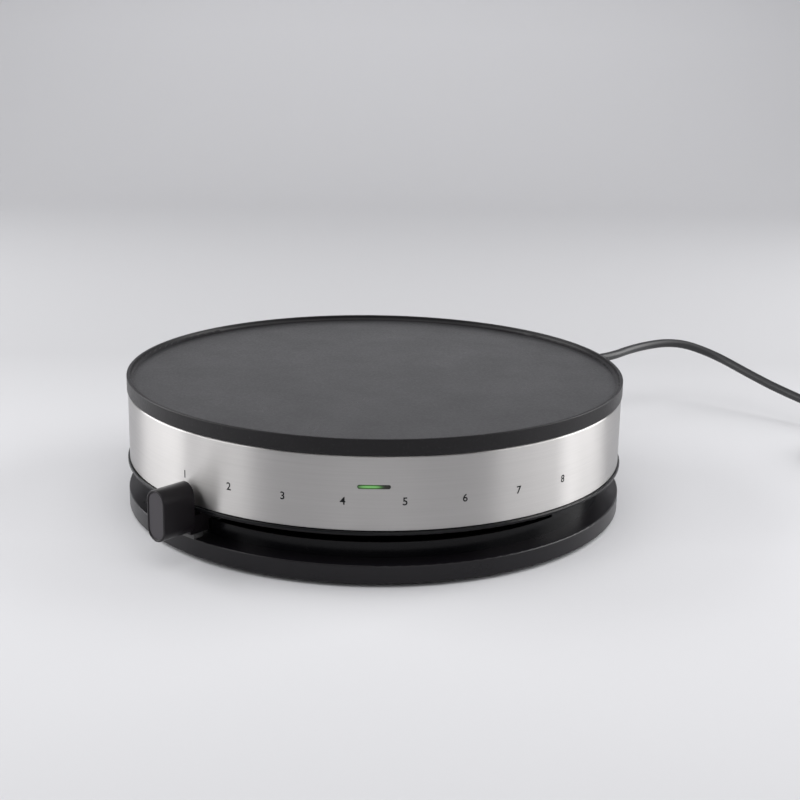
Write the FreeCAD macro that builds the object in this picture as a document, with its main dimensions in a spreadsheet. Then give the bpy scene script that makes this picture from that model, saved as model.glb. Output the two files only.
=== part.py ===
"""Electric crepe maker: a round cooking plate on a steel drum, with a sliding heat lever.

Millimetres, +Z up, origin on the drum's axis at the table. The lamp faces -Y, and an
azimuth is counted from there towards +X.
"""

import FreeCAD
import Part
import math
import os
import re

import Sketcher
from FreeCAD import Placement, Rotation, Vector

SIZES = {
    # Cooking plate
    "rim_radius": 170.0,
    "rim_land": 2.4,
    "rim_rise": 3.6,
    "rim_skirt": 10.14,
    "skirt_wall": 3.0,
    "plate_wall": 5.0,
    "root_fillet": 2.8,
    "edge_fillet": 0.7,
    "loop_inset": 65.0,
    "loop_tube": 7.0,
    "loop_gap": 24.0,
    "pin_drop": 13.0,
    "pin_bend": 9.0,
    "channel_rib": 2.5,
    "channel_depth": 5.5,
    "channel_play": 0.6,
    "boss_inset": 32.0,
    "boss_width": 12.0,
    "boss_drop": 13.3,
    "pillar_count": 6.0,
    # Drum
    "rim_overhang": 0.7,
    "band_wall": 0.8,
    "band_height": 46.18,
    "band_flange": 8.3,
    "gasket_lip": 0.36,
    "shadow_gap": 0.47,
    "lip_reach": 1.4,
    "lip_height": 2.4,
    "recess_height": 19.05,
    "recess_depth": 13.4,
    "base_reach": 0.4,
    "ring_height": 11.6,
    "ring_drop": 2.0,
    "tray_wall": 2.5,
    "spigot_height": 3.0,
    "rib_count": 24.0,
    "rib_wall": 1.6,
    "vent_count": 30.0,
    "vent_width": 3.0,
    "vent_inset": 90.0,
    "vent_length": 30.0,
    "post_gap": 0.5,
    "post_width": 9.0,
    "foot_height": 4.5,
    "foot_width": 20.0,
    "foot_inset": 38.0,
    # Lamp
    "lamp_height": 63.3,
    "lamp_width": 19.9,
    "lamp_slot": 2.6,
    "board_wall": 1.6,
    # Heat lever
    "knob_azimuth": -42.35,
    "first_mark": -43.75,
    "mark_pitch": 12.5,
    "mark_steps": 7.0,
    "slot_play": 0.6,
    "knob_low": 17.9,
    "knob_tall": 33.35,
    "knob_width": 16.2,
    "knob_gap": 2.0,
    "knob_depth": 24.2,
    "knob_border": 1.7,
    "cap_depth": 1.6,
    "cap_sink": 0.5,
    "neck_width": 10.0,
    "arm_width": 12.0,
    "arm_wall": 2.5,
    "arm_height": 22.0,
    "arm_gap": 2.5,
    "shoe_width": 12.0,
    "shoe_wall": 3.0,
    "shaft_width": 6.0,
    "hub_width": 16.0,
    # Thermostat
    "thermostat_width": 34.0,
    "thermostat_drop": 22.1,
    "thermostat_tall": 16.0,
    "strap_wall": 1.2,
    "strap_reach": 36.0,
    # Mains lead
    "cord_width": 7.2,
    "core_width": 2.4,
    "cord_azimuth": 150.0,
    "cord_height": 49.0,
    "gland_reach": 30.0,
    "clamp_inset": 30.0,
    "block_inset": 62.0,
    "coil_radius": 43.6,
    "coil_pitch": 7.85,
    "plug_radius": 18.5,
    "plug_length": 38.0,
    "plug_pin": 4.8,
    "plug_pin_reach": 19.0,
    "plug_pin_pitch": 19.0,
    # Sheet, screws and clearances
    "shield_wall": 0.8,
    "screw_width": 4.0,
    "screw_head": 8.0,
    "head_tall": 2.6,
    "run_play": 0.05,
    "seat_play": 0.1,
    "part_play": 0.3,
}

# Heights from the table up
FLOOR_LOW = "foot_height"
FLOOR_TOP = "(foot_height + tray_wall)"
RING_LOW = "(foot_height - ring_drop)"
RING_TOP = f"({RING_LOW} + ring_height)"
LIP_LOW = f"({RING_TOP} + recess_height)"
LIP_TOP = f"({LIP_LOW} + lip_height)"
BAND_LOW = f"({LIP_TOP} + shadow_gap)"
BAND_TOP = f"({BAND_LOW} + band_height)"
RIM_LOW = f"({BAND_TOP} + gasket_lip)"
RIM_TOP = f"({RIM_LOW} + rim_skirt)"
COOK_TOP = f"({RIM_TOP} - rim_rise)"
PLATE_LOW = f"({COOK_TOP} - plate_wall)"
BOSS_LOW = f"({PLATE_LOW} - boss_drop)"
SHIELD_LOW = f"({BOSS_LOW} - shield_wall)"
LOOP_HEIGHT = f"({PLATE_LOW} - loop_tube / 2)"
FUSE_HEIGHT = f"({SHIELD_LOW} - 3)"
ARM_TOP = "(arm_height + arm_wall)"
NECK_TOP = f"({ARM_TOP} + 5)"
SHOE_LOW = f"({RING_TOP} + part_play)"
SHOE_TOP = f"({SHOE_LOW} + shoe_wall)"

THERMOSTAT_LOW = f"({PLATE_LOW} - thermostat_drop)"
STRAP_LOW = f"({THERMOSTAT_LOW} - strap_wall)"

# Radii
BASE_OUT = "(rim_radius + base_reach)"
BAND_OUT = "(rim_radius - rim_overhang)"
BAND_IN = f"({BAND_OUT} - band_wall)"
LIP_OUT = f"({BAND_OUT} + lip_reach)"
WALL_OUT = f"({BASE_OUT} - recess_depth)"
WALL_IN = f"({WALL_OUT} - tray_wall)"
SPIGOT_OUT = f"({BAND_IN} - part_play)"
KNOB_IN = f"({BASE_OUT} + knob_gap)"
KNOB_OUT = f"({KNOB_IN} + knob_depth)"
ARM_OUT = f"({WALL_IN} - arm_gap)"
POST_CIRCLE = f"({WALL_IN} - tray_wall - post_width / 2 - post_gap)"
BOSS_CIRCLE = "(rim_radius - boss_inset)"
LOOP_RADIUS = "(rim_radius - loop_inset)"
FOOT_CIRCLE = "(rim_radius - foot_inset)"
BUSH_OUT = "(shaft_width / 2 + 4)"
CLAMP_MID = "(rim_radius - clamp_inset)"
BLOCK_MID = "(rim_radius - block_inset)"
JACKET_END = f"({CLAMP_MID} - 12)"
CORD_START = f"({BAND_OUT} + gland_reach / 2)"
GLAND_END = f"({BAND_OUT} + gland_reach)"

ALIASES = re.compile(r"\b(" + "|".join(SIZES) + r")\b")

doc = FreeCAD.newDocument("CrepeMaker")
sheet = doc.addObject("Spreadsheet::Sheet", "Sizes")
PARTS = []
POSTS = 5
POST_SPAN = 240.0
FUSE_BACK = 46.0
LAMP_WIRE_SIDE = 12.0


def fill_sheet():
    """Writes each driving size into its own named cell."""
    for row, (name, size) in enumerate(SIZES.items(), 1):
        sheet.set(f"A{row}", name)
        sheet.set(f"B{row}", repr(size))
        sheet.setAlias(f"B{row}", name)
    doc.recompute()


def formula(text):
    """The expression with each size's name led by its sheet."""
    return ALIASES.sub(r"Sizes.\1", text)


def value(text):
    """The number that an expression has now."""
    found = sheet.evalExpression(formula(text))
    return float(getattr(found, "Value", found))


def bind(item, **sizes):
    """Binds properties to expressions; a double underscore stands for a dot."""
    for name, text in sizes.items():
        item.setExpression(name.replace("__", "."), formula(text))


def keep(item, label):
    """Names a finished sub-part and lists it for export."""
    item.Label = label
    PARTS.append(item)
    return item


def turned_to(item, azimuth):
    """Turns a sub-part that was drawn at the front to its azimuth."""
    item.Placement = Placement(Vector(), Rotation(Vector(0, 0, 1), 1))
    bind(item, Placement__Rotation__Angle=azimuth)
    return item


def origin_part(body, role):
    return next(item for item in body.Origin.OriginFeatures if item.Role == role)


def new_body(name):
    return doc.addObject("PartDesign::Body", name)


def sketch_on(body, plane="XY_Plane", lift="0", shift="0", side="0"):
    """A sketch parallel to an origin plane: lift along its normal, side and shift in it."""
    sketch = body.newObject("Sketcher::SketchObject", body.Name + "_sketch")
    sketch.AttachmentSupport = [(origin_part(body, plane), "")]
    sketch.MapMode = "FlatFace"
    bind(
        sketch,
        AttachmentOffset__Base__x=side,
        AttachmentOffset__Base__y=shift,
        AttachmentOffset__Base__z=lift,
    )
    return sketch


def radial_sketch(body, azimuth, radius, height):
    """A sketch that faces outwards at an azimuth, centred at a height."""
    sketch = body.newObject("Sketcher::SketchObject", body.Name + "_sketch")
    sketch.AttachmentSupport = [(origin_part(body, "XZ_Plane"), "")]
    sketch.MapMode = "FlatFace"
    sketch.AttachmentOffset = Placement(Vector(), Rotation(Vector(0, 1, 0), 1))
    bind(
        sketch,
        AttachmentOffset__Rotation__Angle=azimuth,
        AttachmentOffset__Base__x=f"({radius}) * sin({azimuth} * 1deg)",
        AttachmentOffset__Base__y=height,
        AttachmentOffset__Base__z=f"({radius}) * cos({azimuth} * 1deg)",
    )
    return sketch


def fix_point(sketch, item, end, place):
    """Ties a point of the sketch to its X and Y expressions."""
    for kind, text in zip(("DistanceX", "DistanceY"), place):
        number = sketch.addConstraint(Sketcher.Constraint(kind, -1, 1, item, end, value(text)))
        sketch.setExpression(f"Constraints[{number}]", formula(text))


def fix_radius(sketch, item, text):
    number = sketch.addConstraint(Sketcher.Constraint("Radius", item, value(text)))
    sketch.setExpression(f"Constraints[{number}]", formula(text))


def corner_arc(before, point, after, radius):
    """The arc that rounds a corner: its geometry, its two ends and which end comes first."""
    back = (before - point).normalize()
    on = (after - point).normalize()
    half = back.getAngle(on) / 2
    leg = radius / math.tan(half)
    start = point + back * leg
    end = point + on * leg
    centre = point + (back + on).normalize() * (radius / math.sin(half))
    leftward = back.cross(on).z < 0
    first, last = (start, end) if leftward else (end, start)
    angles = [math.atan2(spot.y - centre.y, spot.x - centre.x) for spot in (first, last)]
    circle = Part.Circle(centre, Vector(0, 0, 1), radius)
    return Part.ArcOfCircle(circle, angles[0], angles[1]), start, end, leftward


def outline(sketch, corners):
    """A closed outline of straight sides; a corner's third entry rounds it."""
    points = [Vector(value(corner[0]), value(corner[1]), 0) for corner in corners]
    count = len(points)
    starts = list(points)
    ends = list(points)
    arcs = {}
    for index, corner in enumerate(corners):
        if len(corner) > 2:
            around = points[index - 1], points[index], points[(index + 1) % count]
            arcs[index] = corner_arc(*around, value(corner[2]))
            ends[index], starts[index] = arcs[index][1:3]
    lines = [
        sketch.addGeometry(Part.LineSegment(starts[index], ends[(index + 1) % count]), False)
        for index in range(count)
    ]
    for index, corner in enumerate(corners):
        before, after = lines[index - 1], lines[index]
        if index not in arcs:
            sketch.addConstraint(Sketcher.Constraint("Coincident", before, 2, after, 1))
            fix_point(sketch, after, 1, corner[:2])
            continue
        arc = sketch.addGeometry(arcs[index][0], False)
        entry, leave = (1, 2) if arcs[index][3] else (2, 1)
        tip = sketch.addGeometry(Part.Point(points[index]), True)
        sketch.addConstraint(Sketcher.Constraint("Tangent", before, 2, arc, entry))
        sketch.addConstraint(Sketcher.Constraint("Tangent", arc, leave, after, 1))
        sketch.addConstraint(Sketcher.Constraint("PointOnObject", tip, 1, before))
        sketch.addConstraint(Sketcher.Constraint("PointOnObject", tip, 1, after))
        fix_point(sketch, tip, 1, corner[:2])
        fix_radius(sketch, arc, corner[2])
    return sketch


def rectangle(sketch, left, low, right, high):
    return outline(sketch, [(left, low), (right, low), (right, high), (left, high)])


def circle(sketch, across, up, radius):
    spot = Vector(value(across), value(up), 0)
    item = sketch.addGeometry(Part.Circle(spot, Vector(0, 0, 1), value(radius)), False)
    fix_point(sketch, item, 3, (across, up))
    fix_radius(sketch, item, radius)
    return sketch


def stadium(sketch, half, radius, upright=False, across="0", up="0"):
    """A slot outline whose end centres stand half from the middle, level or upright."""
    turn = math.pi / 2 if upright else 0
    arcs = []
    for sign in (1, -1):
        step = f"{sign} * ({half})"
        place = (across, f"({up}) + {step}") if upright else (f"({across}) + {step}", up)
        spot = Vector(value(place[0]), value(place[1]), 0)
        ring = Part.Circle(spot, Vector(0, 0, 1), value(radius))
        middle = turn + (0 if sign > 0 else math.pi)
        arc = Part.ArcOfCircle(ring, middle - math.pi / 2, middle + math.pi / 2)
        arcs.append(sketch.addGeometry(arc, False))
        fix_point(sketch, arcs[-1], 3, place)
    for one, other in (arcs, arcs[::-1]):
        ends = sketch.getPoint(one, 2), sketch.getPoint(other, 1)
        side = sketch.addGeometry(Part.LineSegment(*ends), False)
        sketch.addConstraint(Sketcher.Constraint("Tangent", one, 2, side, 1))
        sketch.addConstraint(Sketcher.Constraint("Tangent", side, 2, other, 1))
    fix_radius(sketch, arcs[0], radius)
    sketch.addConstraint(Sketcher.Constraint("Equal", arcs[0], arcs[1]))
    return sketch


def feature(body, kind, sketch, **settings):
    item = body.newObject("PartDesign::" + kind, body.Name + "_" + kind.lower())
    item.Profile = sketch
    for name, setting in settings.items():
        setattr(item, name, setting)
    return item


def pad(body, sketch, length, **settings):
    item = feature(body, "Pad", sketch, **settings)
    bind(item, Length=length)
    return item


def pocket(body, sketch, length, **settings):
    item = feature(body, "Pocket", sketch, **settings)
    bind(item, Length=length)
    return item


def revolve(body, sketch, axis="V_Axis", kind="Revolution"):
    return feature(body, kind, sketch, ReferenceAxis=(sketch, [axis]), Angle=360)


def ring_of(body, originals, count, angle=360.0):
    """Repeats features round the drum's axis."""
    item = body.newObject("PartDesign::PolarPattern", body.Name + "_ring")
    item.Originals = originals
    item.Axis = (origin_part(body, "Z_Axis"), [""])
    item.Angle = angle
    if isinstance(count, str):
        bind(item, Occurrences=count)
    else:
        item.Occurrences = count
    body.Tip = item
    return item


def spun(label, corners, plane="XZ_Plane", axis="V_Axis", shift="0"):
    """A body turned from one outline about an axis of its sketch."""
    body = new_body(label)
    revolve(body, outline(sketch_on(body, plane, shift=shift), corners), axis)
    return body


def pegs(label, across, levels, count=1, angle=360.0, first="0", up="0"):
    """Stacked round solids on the azimuth-first circle, repeated round the axis.

    Each level gives its low end, its length and its radius.
    """
    body = new_body(label)
    place = (
        f"({across}) * sin(({first}) * 1deg) - ({up}) * cos(({first}) * 1deg)",
        f"-({across}) * cos(({first}) * 1deg) - ({up}) * sin(({first}) * 1deg)",
    )
    pads = []
    for low, length, radius in levels:
        sketch = circle(sketch_on(body, lift=low), *place, radius)
        pads.append(pad(body, sketch, length))
    if count != 1:
        ring_of(body, pads, count, angle)
    return body


def bored(body, across, low, length, radius, count=1, angle=360.0, first="0"):
    """Round holes up from a level, repeated round the axis."""
    place = (
        f"({across}) * sin(({first}) * 1deg)",
        f"-({across}) * cos(({first}) * 1deg)",
    )
    sketch = circle(sketch_on(body, lift=low), *place, radius)
    hole = pocket(body, sketch, length, Reversed=True)
    if count != 1:
        ring_of(body, [hole], count, angle)
    return hole


def block(label, across, out, up, rounding=None):
    """A block at the front: across, outwards and up, each as a low and a high value."""
    body = new_body(label)
    corners = [
        (across[0], up[0]),
        (across[1], up[0]),
        (across[1], up[1]),
        (across[0], up[1]),
    ]
    if rounding:
        corners = [corner + (rounding,) for corner in corners]
    sketch = outline(sketch_on(body, "XZ_Plane", lift=out[0]), corners)
    pad(body, sketch, f"({out[1]}) - ({out[0]})")
    return body


def griddle_plate():
    wall = "(rim_radius - skirt_wall)"
    rib_gap = "(loop_tube / 2 + channel_play)"
    rib_low = f"({PLATE_LOW} - channel_depth)"
    corners = [
        ("0", COOK_TOP),
        ("0", PLATE_LOW),
        (f"{LOOP_RADIUS} - {rib_gap} - channel_rib", PLATE_LOW),
        (f"{LOOP_RADIUS} - {rib_gap} - channel_rib", rib_low),
        (f"{LOOP_RADIUS} - {rib_gap}", rib_low),
        (f"{LOOP_RADIUS} - {rib_gap}", PLATE_LOW),
        (f"{LOOP_RADIUS} + {rib_gap}", PLATE_LOW),
        (f"{LOOP_RADIUS} + {rib_gap}", rib_low),
        (f"{LOOP_RADIUS} + {rib_gap} + channel_rib", rib_low),
        (f"{LOOP_RADIUS} + {rib_gap} + channel_rib", PLATE_LOW),
        (wall, PLATE_LOW),
        (wall, RIM_LOW),
        ("rim_radius", RIM_LOW, "edge_fillet"),
        ("rim_radius", RIM_TOP, "edge_fillet"),
        ("rim_radius - rim_land", RIM_TOP, "edge_fillet"),
        ("rim_radius - rim_land", COOK_TOP, "root_fillet"),
    ]
    body = spun("griddle_plate", corners)
    boss = circle(sketch_on(body, lift=BOSS_LOW), "0", f"-{BOSS_CIRCLE}", "boss_width / 2")
    ring_of(body, [pad(body, boss, "boss_drop + plate_wall / 2")], "pillar_count")
    bored(body, BOSS_CIRCLE, BOSS_LOW, "10", "screw_width / 2 + run_play", "pillar_count")
    for side in ("-", ""):
        floor = sketch_on(body, lift=THERMOSTAT_LOW)
        pad(body, circle(floor, f"{side}strap_reach", "0", "boss_width / 2.4"), "thermostat_drop + 1")
        floor = sketch_on(body, lift=THERMOSTAT_LOW)
        hole = circle(floor, f"{side}strap_reach", "0", "1.5 + run_play")
        pocket(body, hole, "9", Reversed=True)
    return keep(body, "griddle_plate")


def insulating_ring():
    inner = f"({BAND_OUT} - band_flange)"
    upstand = "(rim_radius - skirt_wall - part_play)"
    corners = [
        (inner, BAND_TOP),
        (f"{BAND_OUT} - 0.8", BAND_TOP),
        (f"{BAND_OUT} - 0.8", RIM_LOW),
        (upstand, RIM_LOW),
        (upstand, f"{RIM_LOW} + 1.2"),
        (inner, f"{RIM_LOW} + 1.2"),
    ]
    return keep(spun("insulating_ring", corners), "insulating_ring")


def steel_band():
    flange = f"({BAND_OUT} - band_flange)"
    corners = [
        (BAND_IN, BAND_LOW),
        (BAND_OUT, BAND_LOW),
        (BAND_OUT, BAND_TOP, "1.2"),
        (flange, BAND_TOP),
        (flange, f"{BAND_TOP} - band_wall"),
        (BAND_IN, f"{BAND_TOP} - band_wall", "0.4"),
    ]
    body = spun("steel_band", corners)
    slot = sketch_on(body, "XZ_Plane", lift=f"{BAND_OUT} + 5", shift="lamp_height")
    stadium(slot, "(lamp_width - lamp_slot) / 2", "lamp_slot / 2")
    pocket(body, slot, "12")
    hole = radial_sketch(body, "cord_azimuth", f"{BAND_OUT} + 5", "cord_height")
    circle(hole, "0", "0", "cord_width / 2 + 2.8")
    pocket(body, hole, "12")
    return keep(body, "steel_band")


def lower_housing():
    """The deck under the steel band, with the lip that the band stands behind."""
    corners = [
        ("0", LIP_LOW),
        (LIP_OUT, LIP_LOW, "0.5"),
        (LIP_OUT, LIP_TOP, "0.8"),
        (f"{BAND_OUT} - 0.35", LIP_TOP),
        (f"{BAND_OUT} - 0.35", BAND_LOW),
        (SPIGOT_OUT, BAND_LOW),
        (SPIGOT_OUT, f"{BAND_LOW} + spigot_height", "0.8"),
        (f"{SPIGOT_OUT} - tray_wall", f"{BAND_LOW} + spigot_height"),
        (f"{SPIGOT_OUT} - tray_wall", LIP_TOP),
        ("0", LIP_TOP),
    ]
    body = spun("lower_housing", corners)
    bored(body, BOSS_CIRCLE, f"{LIP_LOW} - 1", "10", "screw_width / 2 + 0.3", "pillar_count")
    bored(body, "0", f"{LIP_LOW} - 1", "10", f"{BUSH_OUT} + run_play")
    return keep(body, "lower_housing")


def groove_wall():
    """The groove's wall, with the screw posts inside it and the slot for the lever."""
    corners = [
        (WALL_IN, RING_TOP),
        (WALL_OUT, RING_TOP),
        (WALL_OUT, LIP_LOW),
        (WALL_IN, LIP_LOW),
    ]
    body = spun("groove_wall", corners)
    turn = "60 * 1deg"
    posts = sketch_on(body, lift=FLOOR_TOP)
    across = f"{POST_CIRCLE} * sin({turn})"
    circle(posts, across, f"-{POST_CIRCLE} * cos({turn})", "post_width / 2")
    post = pad(body, posts, f"{LIP_LOW} - {FLOOR_TOP}")
    web = radial_sketch(body, "60", POST_CIRCLE, f"{RING_TOP} + post_gap")
    rectangle(web, "-rib_wall / 2", "0", "rib_wall / 2", "recess_height - post_gap")
    rib = pad(body, web, f"{WALL_OUT} - {POST_CIRCLE} - tray_wall / 2")
    ring_of(body, [post, rib], POSTS, POST_SPAN)
    depth = "screw_width * 4"
    play = "screw_width / 2 + run_play"
    bored(body, POST_CIRCLE, FLOOR_TOP, depth, play, POSTS, POST_SPAN, "60")
    lever_slot(body)
    return keep(body, "groove_wall")


def lever_slot(body):
    """The slot that the lever's neck runs in, as wide as its travel."""
    sketch = sketch_on(body, "YZ_Plane")
    rectangle(
        sketch,
        f"-({WALL_OUT} + 1)",
        f"{ARM_TOP} - slot_play",
        f"-({WALL_IN} - 1)",
        f"{NECK_TOP} + slot_play",
    )
    groove = feature(body, "Groove", sketch, ReferenceAxis=(sketch, ["V_Axis"]), Midplane=True)
    play = f"2 * (180 / pi) * (neck_width / 2 + 1.6) / ({WALL_OUT})"
    bind(groove, Angle=f"(mark_pitch * mark_steps + {play})")


def base_tray():
    corners = [
        ("0", FLOOR_LOW),
        (WALL_IN, FLOOR_LOW, "0.8"),
        (WALL_IN, f"{RING_TOP} - tray_wall"),
        (f"{BASE_OUT} - tray_wall", f"{RING_TOP} - tray_wall"),
        (f"{BASE_OUT} - tray_wall", RING_LOW),
        (BASE_OUT, RING_LOW, "0.5"),
        (BASE_OUT, RING_TOP, "0.8"),
        (f"{WALL_IN} - tray_wall", RING_TOP),
        (f"{WALL_IN} - tray_wall", FLOOR_TOP),
        ("0", FLOOR_TOP),
    ]
    body = spun("base_tray", corners)
    rib = sketch_on(body, lift=f"{RING_LOW} + 1.5")
    rectangle(
        rib,
        "-rib_wall / 2",
        f"-({BASE_OUT} - tray_wall / 2)",
        "rib_wall / 2",
        f"-({WALL_IN} - tray_wall / 2)",
    )
    ring_of(body, [pad(body, rib, f"{RING_TOP} - tray_wall / 2 - {RING_LOW} - 1.5")], "rib_count")
    vent = sketch_on(body, lift=f"{FLOOR_LOW} - 1")
    length = "(vent_length - vent_width) / 2"
    stadium(vent, length, "vent_width / 2", upright=True, up="-(rim_radius - vent_inset)")
    ring_of(body, [pocket(body, vent, "8", Reversed=True)], "vent_count")
    play = "screw_width / 2 + 0.3"
    bored(body, POST_CIRCLE, f"{FLOOR_LOW} - 1", "8", play, POSTS, POST_SPAN, "60")
    bored(body, FOOT_CIRCLE, f"{FLOOR_LOW} - 1", "8", "2.6", 4, 360.0, "45")
    return keep(body, "base_tray")


def feet_and_screws():
    """The pegs and screws that stand on circles round the drum's axis."""
    foot = [
        ("0", "1", "foot_width / 2 - 0.6"),
        ("1", f"{FLOOR_LOW} - 1", "foot_width / 2"),
        (FLOOR_LOW, "tray_wall", "2.5"),
        (FLOOR_TOP, "1.6", "3.6"),
    ]
    keep(pegs("rubber_feet", FOOT_CIRCLE, foot, 4, 360.0, "45"), "rubber_feet")
    low_screw = [
        (f"{FLOOR_LOW} - 2.2", "2.2", "3.4"),
        (FLOOR_LOW, "tray_wall + 14", "screw_width / 2"),
    ]
    screws = pegs("base_screws", POST_CIRCLE, low_screw, POSTS, POST_SPAN, "60")
    keep(screws, "base_screws")
    long_screw = [
        (f"{LIP_LOW} - head_tall", "head_tall", "screw_head / 2"),
        (LIP_LOW, f"{BOSS_LOW} + 9 - {LIP_LOW}", "screw_width / 2"),
    ]
    keep(pegs("plate_screws", BOSS_CIRCLE, long_screw, "pillar_count"), "plate_screws")
    pillar = [(LIP_TOP, f"{SHIELD_LOW} - {LIP_TOP}", "boss_width / 2")]
    pillars = pegs("plate_pillars", BOSS_CIRCLE, pillar, "pillar_count")
    play = "screw_width / 2 + 0.3"
    bored(pillars, BOSS_CIRCLE, LIP_TOP, f"{SHIELD_LOW} - {LIP_TOP}", play, "pillar_count")
    keep(pillars, "plate_pillars")


def heat_shield():
    edge = f"({BOSS_CIRCLE} + boss_width)"
    corners = [
        ("thermostat_width / 2 + 3", SHIELD_LOW),
        (edge, SHIELD_LOW, "2.4"),
        (f"{edge} + 2", f"{SHIELD_LOW} + 7"),
        (f"{edge} + 1.1", f"{SHIELD_LOW} + 7"),
        (f"{edge} - 0.9", BOSS_LOW, "1.6"),
        ("thermostat_width / 2 + 3", BOSS_LOW),
    ]
    body = spun("heat_shield", corners)
    play = "screw_width / 2 + 0.3"
    bored(body, BOSS_CIRCLE, f"{SHIELD_LOW} - 1", "3", play, "pillar_count")
    for side in ("-1", "1"):
        ear = sketch_on(body, lift=f"{SHIELD_LOW} - 1")
        circle(ear, f"{side} * strap_reach", "0", "boss_width / 2.4 + 0.6")
        pocket(body, ear, "3", Reversed=True)
        pin = sketch_on(body, lift=f"{SHIELD_LOW} - 1")
        turn = "(180 - loop_gap / 2)"
        away = f"({LOOP_RADIUS} * sin(loop_gap / 2 * 1deg) - pin_bend)"
        circle(pin, f"{side} * {away}", f"{LOOP_RADIUS} * sin(({turn} - 90) * 1deg)", "loop_tube")
        pocket(body, pin, "3", Reversed=True)
    return keep(body, "heat_shield")


def thermostat():
    reach = "thermostat_width / 2"
    top = f"({THERMOSTAT_LOW} + thermostat_tall)"
    floor = f"({THERMOSTAT_LOW} + 7)"
    corners = [
        ("shaft_width / 2 + run_play", THERMOSTAT_LOW),
        (reach, THERMOSTAT_LOW, "1"),
        (reach, top, "1"),
        ("10", top),
        ("10", PLATE_LOW),
        ("0", PLATE_LOW),
        ("0", floor),
        ("shaft_width / 2 + run_play", floor),
    ]
    keep(spun("thermostat_body", corners), "thermostat_body")
    tabs = new_body("thermostat_tabs")
    for side in ("-8", "8"):
        sketch = sketch_on(tabs, "XZ_Plane", lift=f"-({reach} + 9)")
        low = f"{THERMOSTAT_LOW} + 3"
        rectangle(sketch, f"{side} - 3.15", low, f"{side} + 3.15", f"{low} + 0.8")
        pad(tabs, sketch, "9 + thermostat_width / 2 - sqrt(thermostat_width ^ 2 / 4 - 4.85 ^ 2)")
    keep(tabs, "thermostat_tabs")
    low = STRAP_LOW
    strap = new_body("thermostat_bracket")
    stadium(sketch_on(strap, lift=low), "strap_reach", "7")
    pad(strap, strap.Group[-1], "strap_wall")
    bored(strap, "0", f"{low} - 1", "4", "shaft_width / 2 + 1")
    for side in ("-", ""):
        hole = circle(sketch_on(strap, lift=f"{low} - 1"), f"{side}strap_reach", "0", "1.8")
        pocket(strap, hole, "4", Reversed=True)
    keep(strap, "thermostat_bracket")
    screws = new_body("bracket_screws")
    for side in ("-", ""):
        head = circle(sketch_on(screws, lift=f"{low} - 2"), f"{side}strap_reach", "0", "3")
        pad(screws, head, "2")
        shank = circle(sketch_on(screws, lift=low), f"{side}strap_reach", "0", "1.5")
        pad(screws, shank, "strap_wall + 7")
    keep(screws, "bracket_screws")


def thermal_fuse():
    body = new_body("thermal_fuse")
    barrel = sketch_on(body, "YZ_Plane", lift="-62", side=f"{FUSE_BACK}", shift=FUSE_HEIGHT)
    pad(body, circle(barrel, "0", "0", "2"), "14")
    lead = sketch_on(body, "YZ_Plane", lift="-72", side=f"{FUSE_BACK}", shift=FUSE_HEIGHT)
    pad(body, circle(lead, "0", "0", "0.6"), "34")
    keep(body, "thermal_fuse")
    clip = new_body("fuse_clip")
    sketch = sketch_on(clip, "YZ_Plane", lift="-58", side=f"{FUSE_BACK}", shift=FUSE_HEIGHT)
    corners = [
        ("-2.9", "-2.9", "1"),
        ("2.9", "-2.9", "1"),
        ("2.9", "2.2"),
        ("9", "2.2"),
        ("9", "3"),
        ("-2.9", "3"),
    ]
    pad(clip, outline(sketch, corners), "6")
    hole = sketch_on(clip, "YZ_Plane", lift="-59", side=f"{FUSE_BACK}", shift=FUSE_HEIGHT)
    pocket(clip, circle(hole, "0", "0", "2.05"), "8", Reversed=True)
    keep(clip, "fuse_clip")


def indicator():
    face = f"({BAND_OUT} - 0.1)"
    back = f"({BAND_IN} - 1.8)"
    lens = new_body("indicator_lens")
    sketch = sketch_on(lens, "XZ_Plane", lift=back, shift="lamp_height")
    stadium(sketch, "(lamp_width - lamp_slot) / 2", "lamp_slot / 2 - seat_play")
    pad(lens, sketch, f"{face} - {back}")
    foot = sketch_on(lens, "XZ_Plane", lift=f"{back} - 1.2", shift="lamp_height")
    stadium(foot, "lamp_width / 2", "lamp_slot")
    pad(lens, foot, "2.0")
    keep(lens, "indicator_lens")

    board_front = f"({back} - 5)"
    board_back = f"({board_front} - board_wall)"
    half = "(lamp_width / 2 + 3)"
    up = ("lamp_height - 5", "lamp_height + 5")
    board = block("indicator_board", (f"-{half}", half), (board_back, board_front), up)
    keep(board, "indicator_board")

    leds = new_body("indicator_leds")
    for place in ("-6", "0", "6"):
        led = sketch_on(leds, "XZ_Plane", lift=board_front, shift="lamp_height")
        pad(leds, rectangle(led, f"{place} - 1.5", "-1.2", f"{place} + 1.5", "1.2"), "1.8")
    keep(leds, "indicator_leds")

    holder = new_body("lamp_holder")
    outer = f"({half} + 2.4)"
    sketch = sketch_on(holder, "XZ_Plane", lift=f"{board_back} - 2.4")
    rectangle(sketch, f"-{outer}", LIP_TOP, outer, "lamp_height + 7.4")
    pad(holder, sketch, "5 + board_wall")
    room = sketch_on(holder, "XZ_Plane", lift=f"{board_back}")
    rectangle(room, f"-{half}", "lamp_height - 5", half, "lamp_height + 5")
    pocket(holder, room, "9", Reversed=True)
    keep(holder, "lamp_holder")


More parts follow.
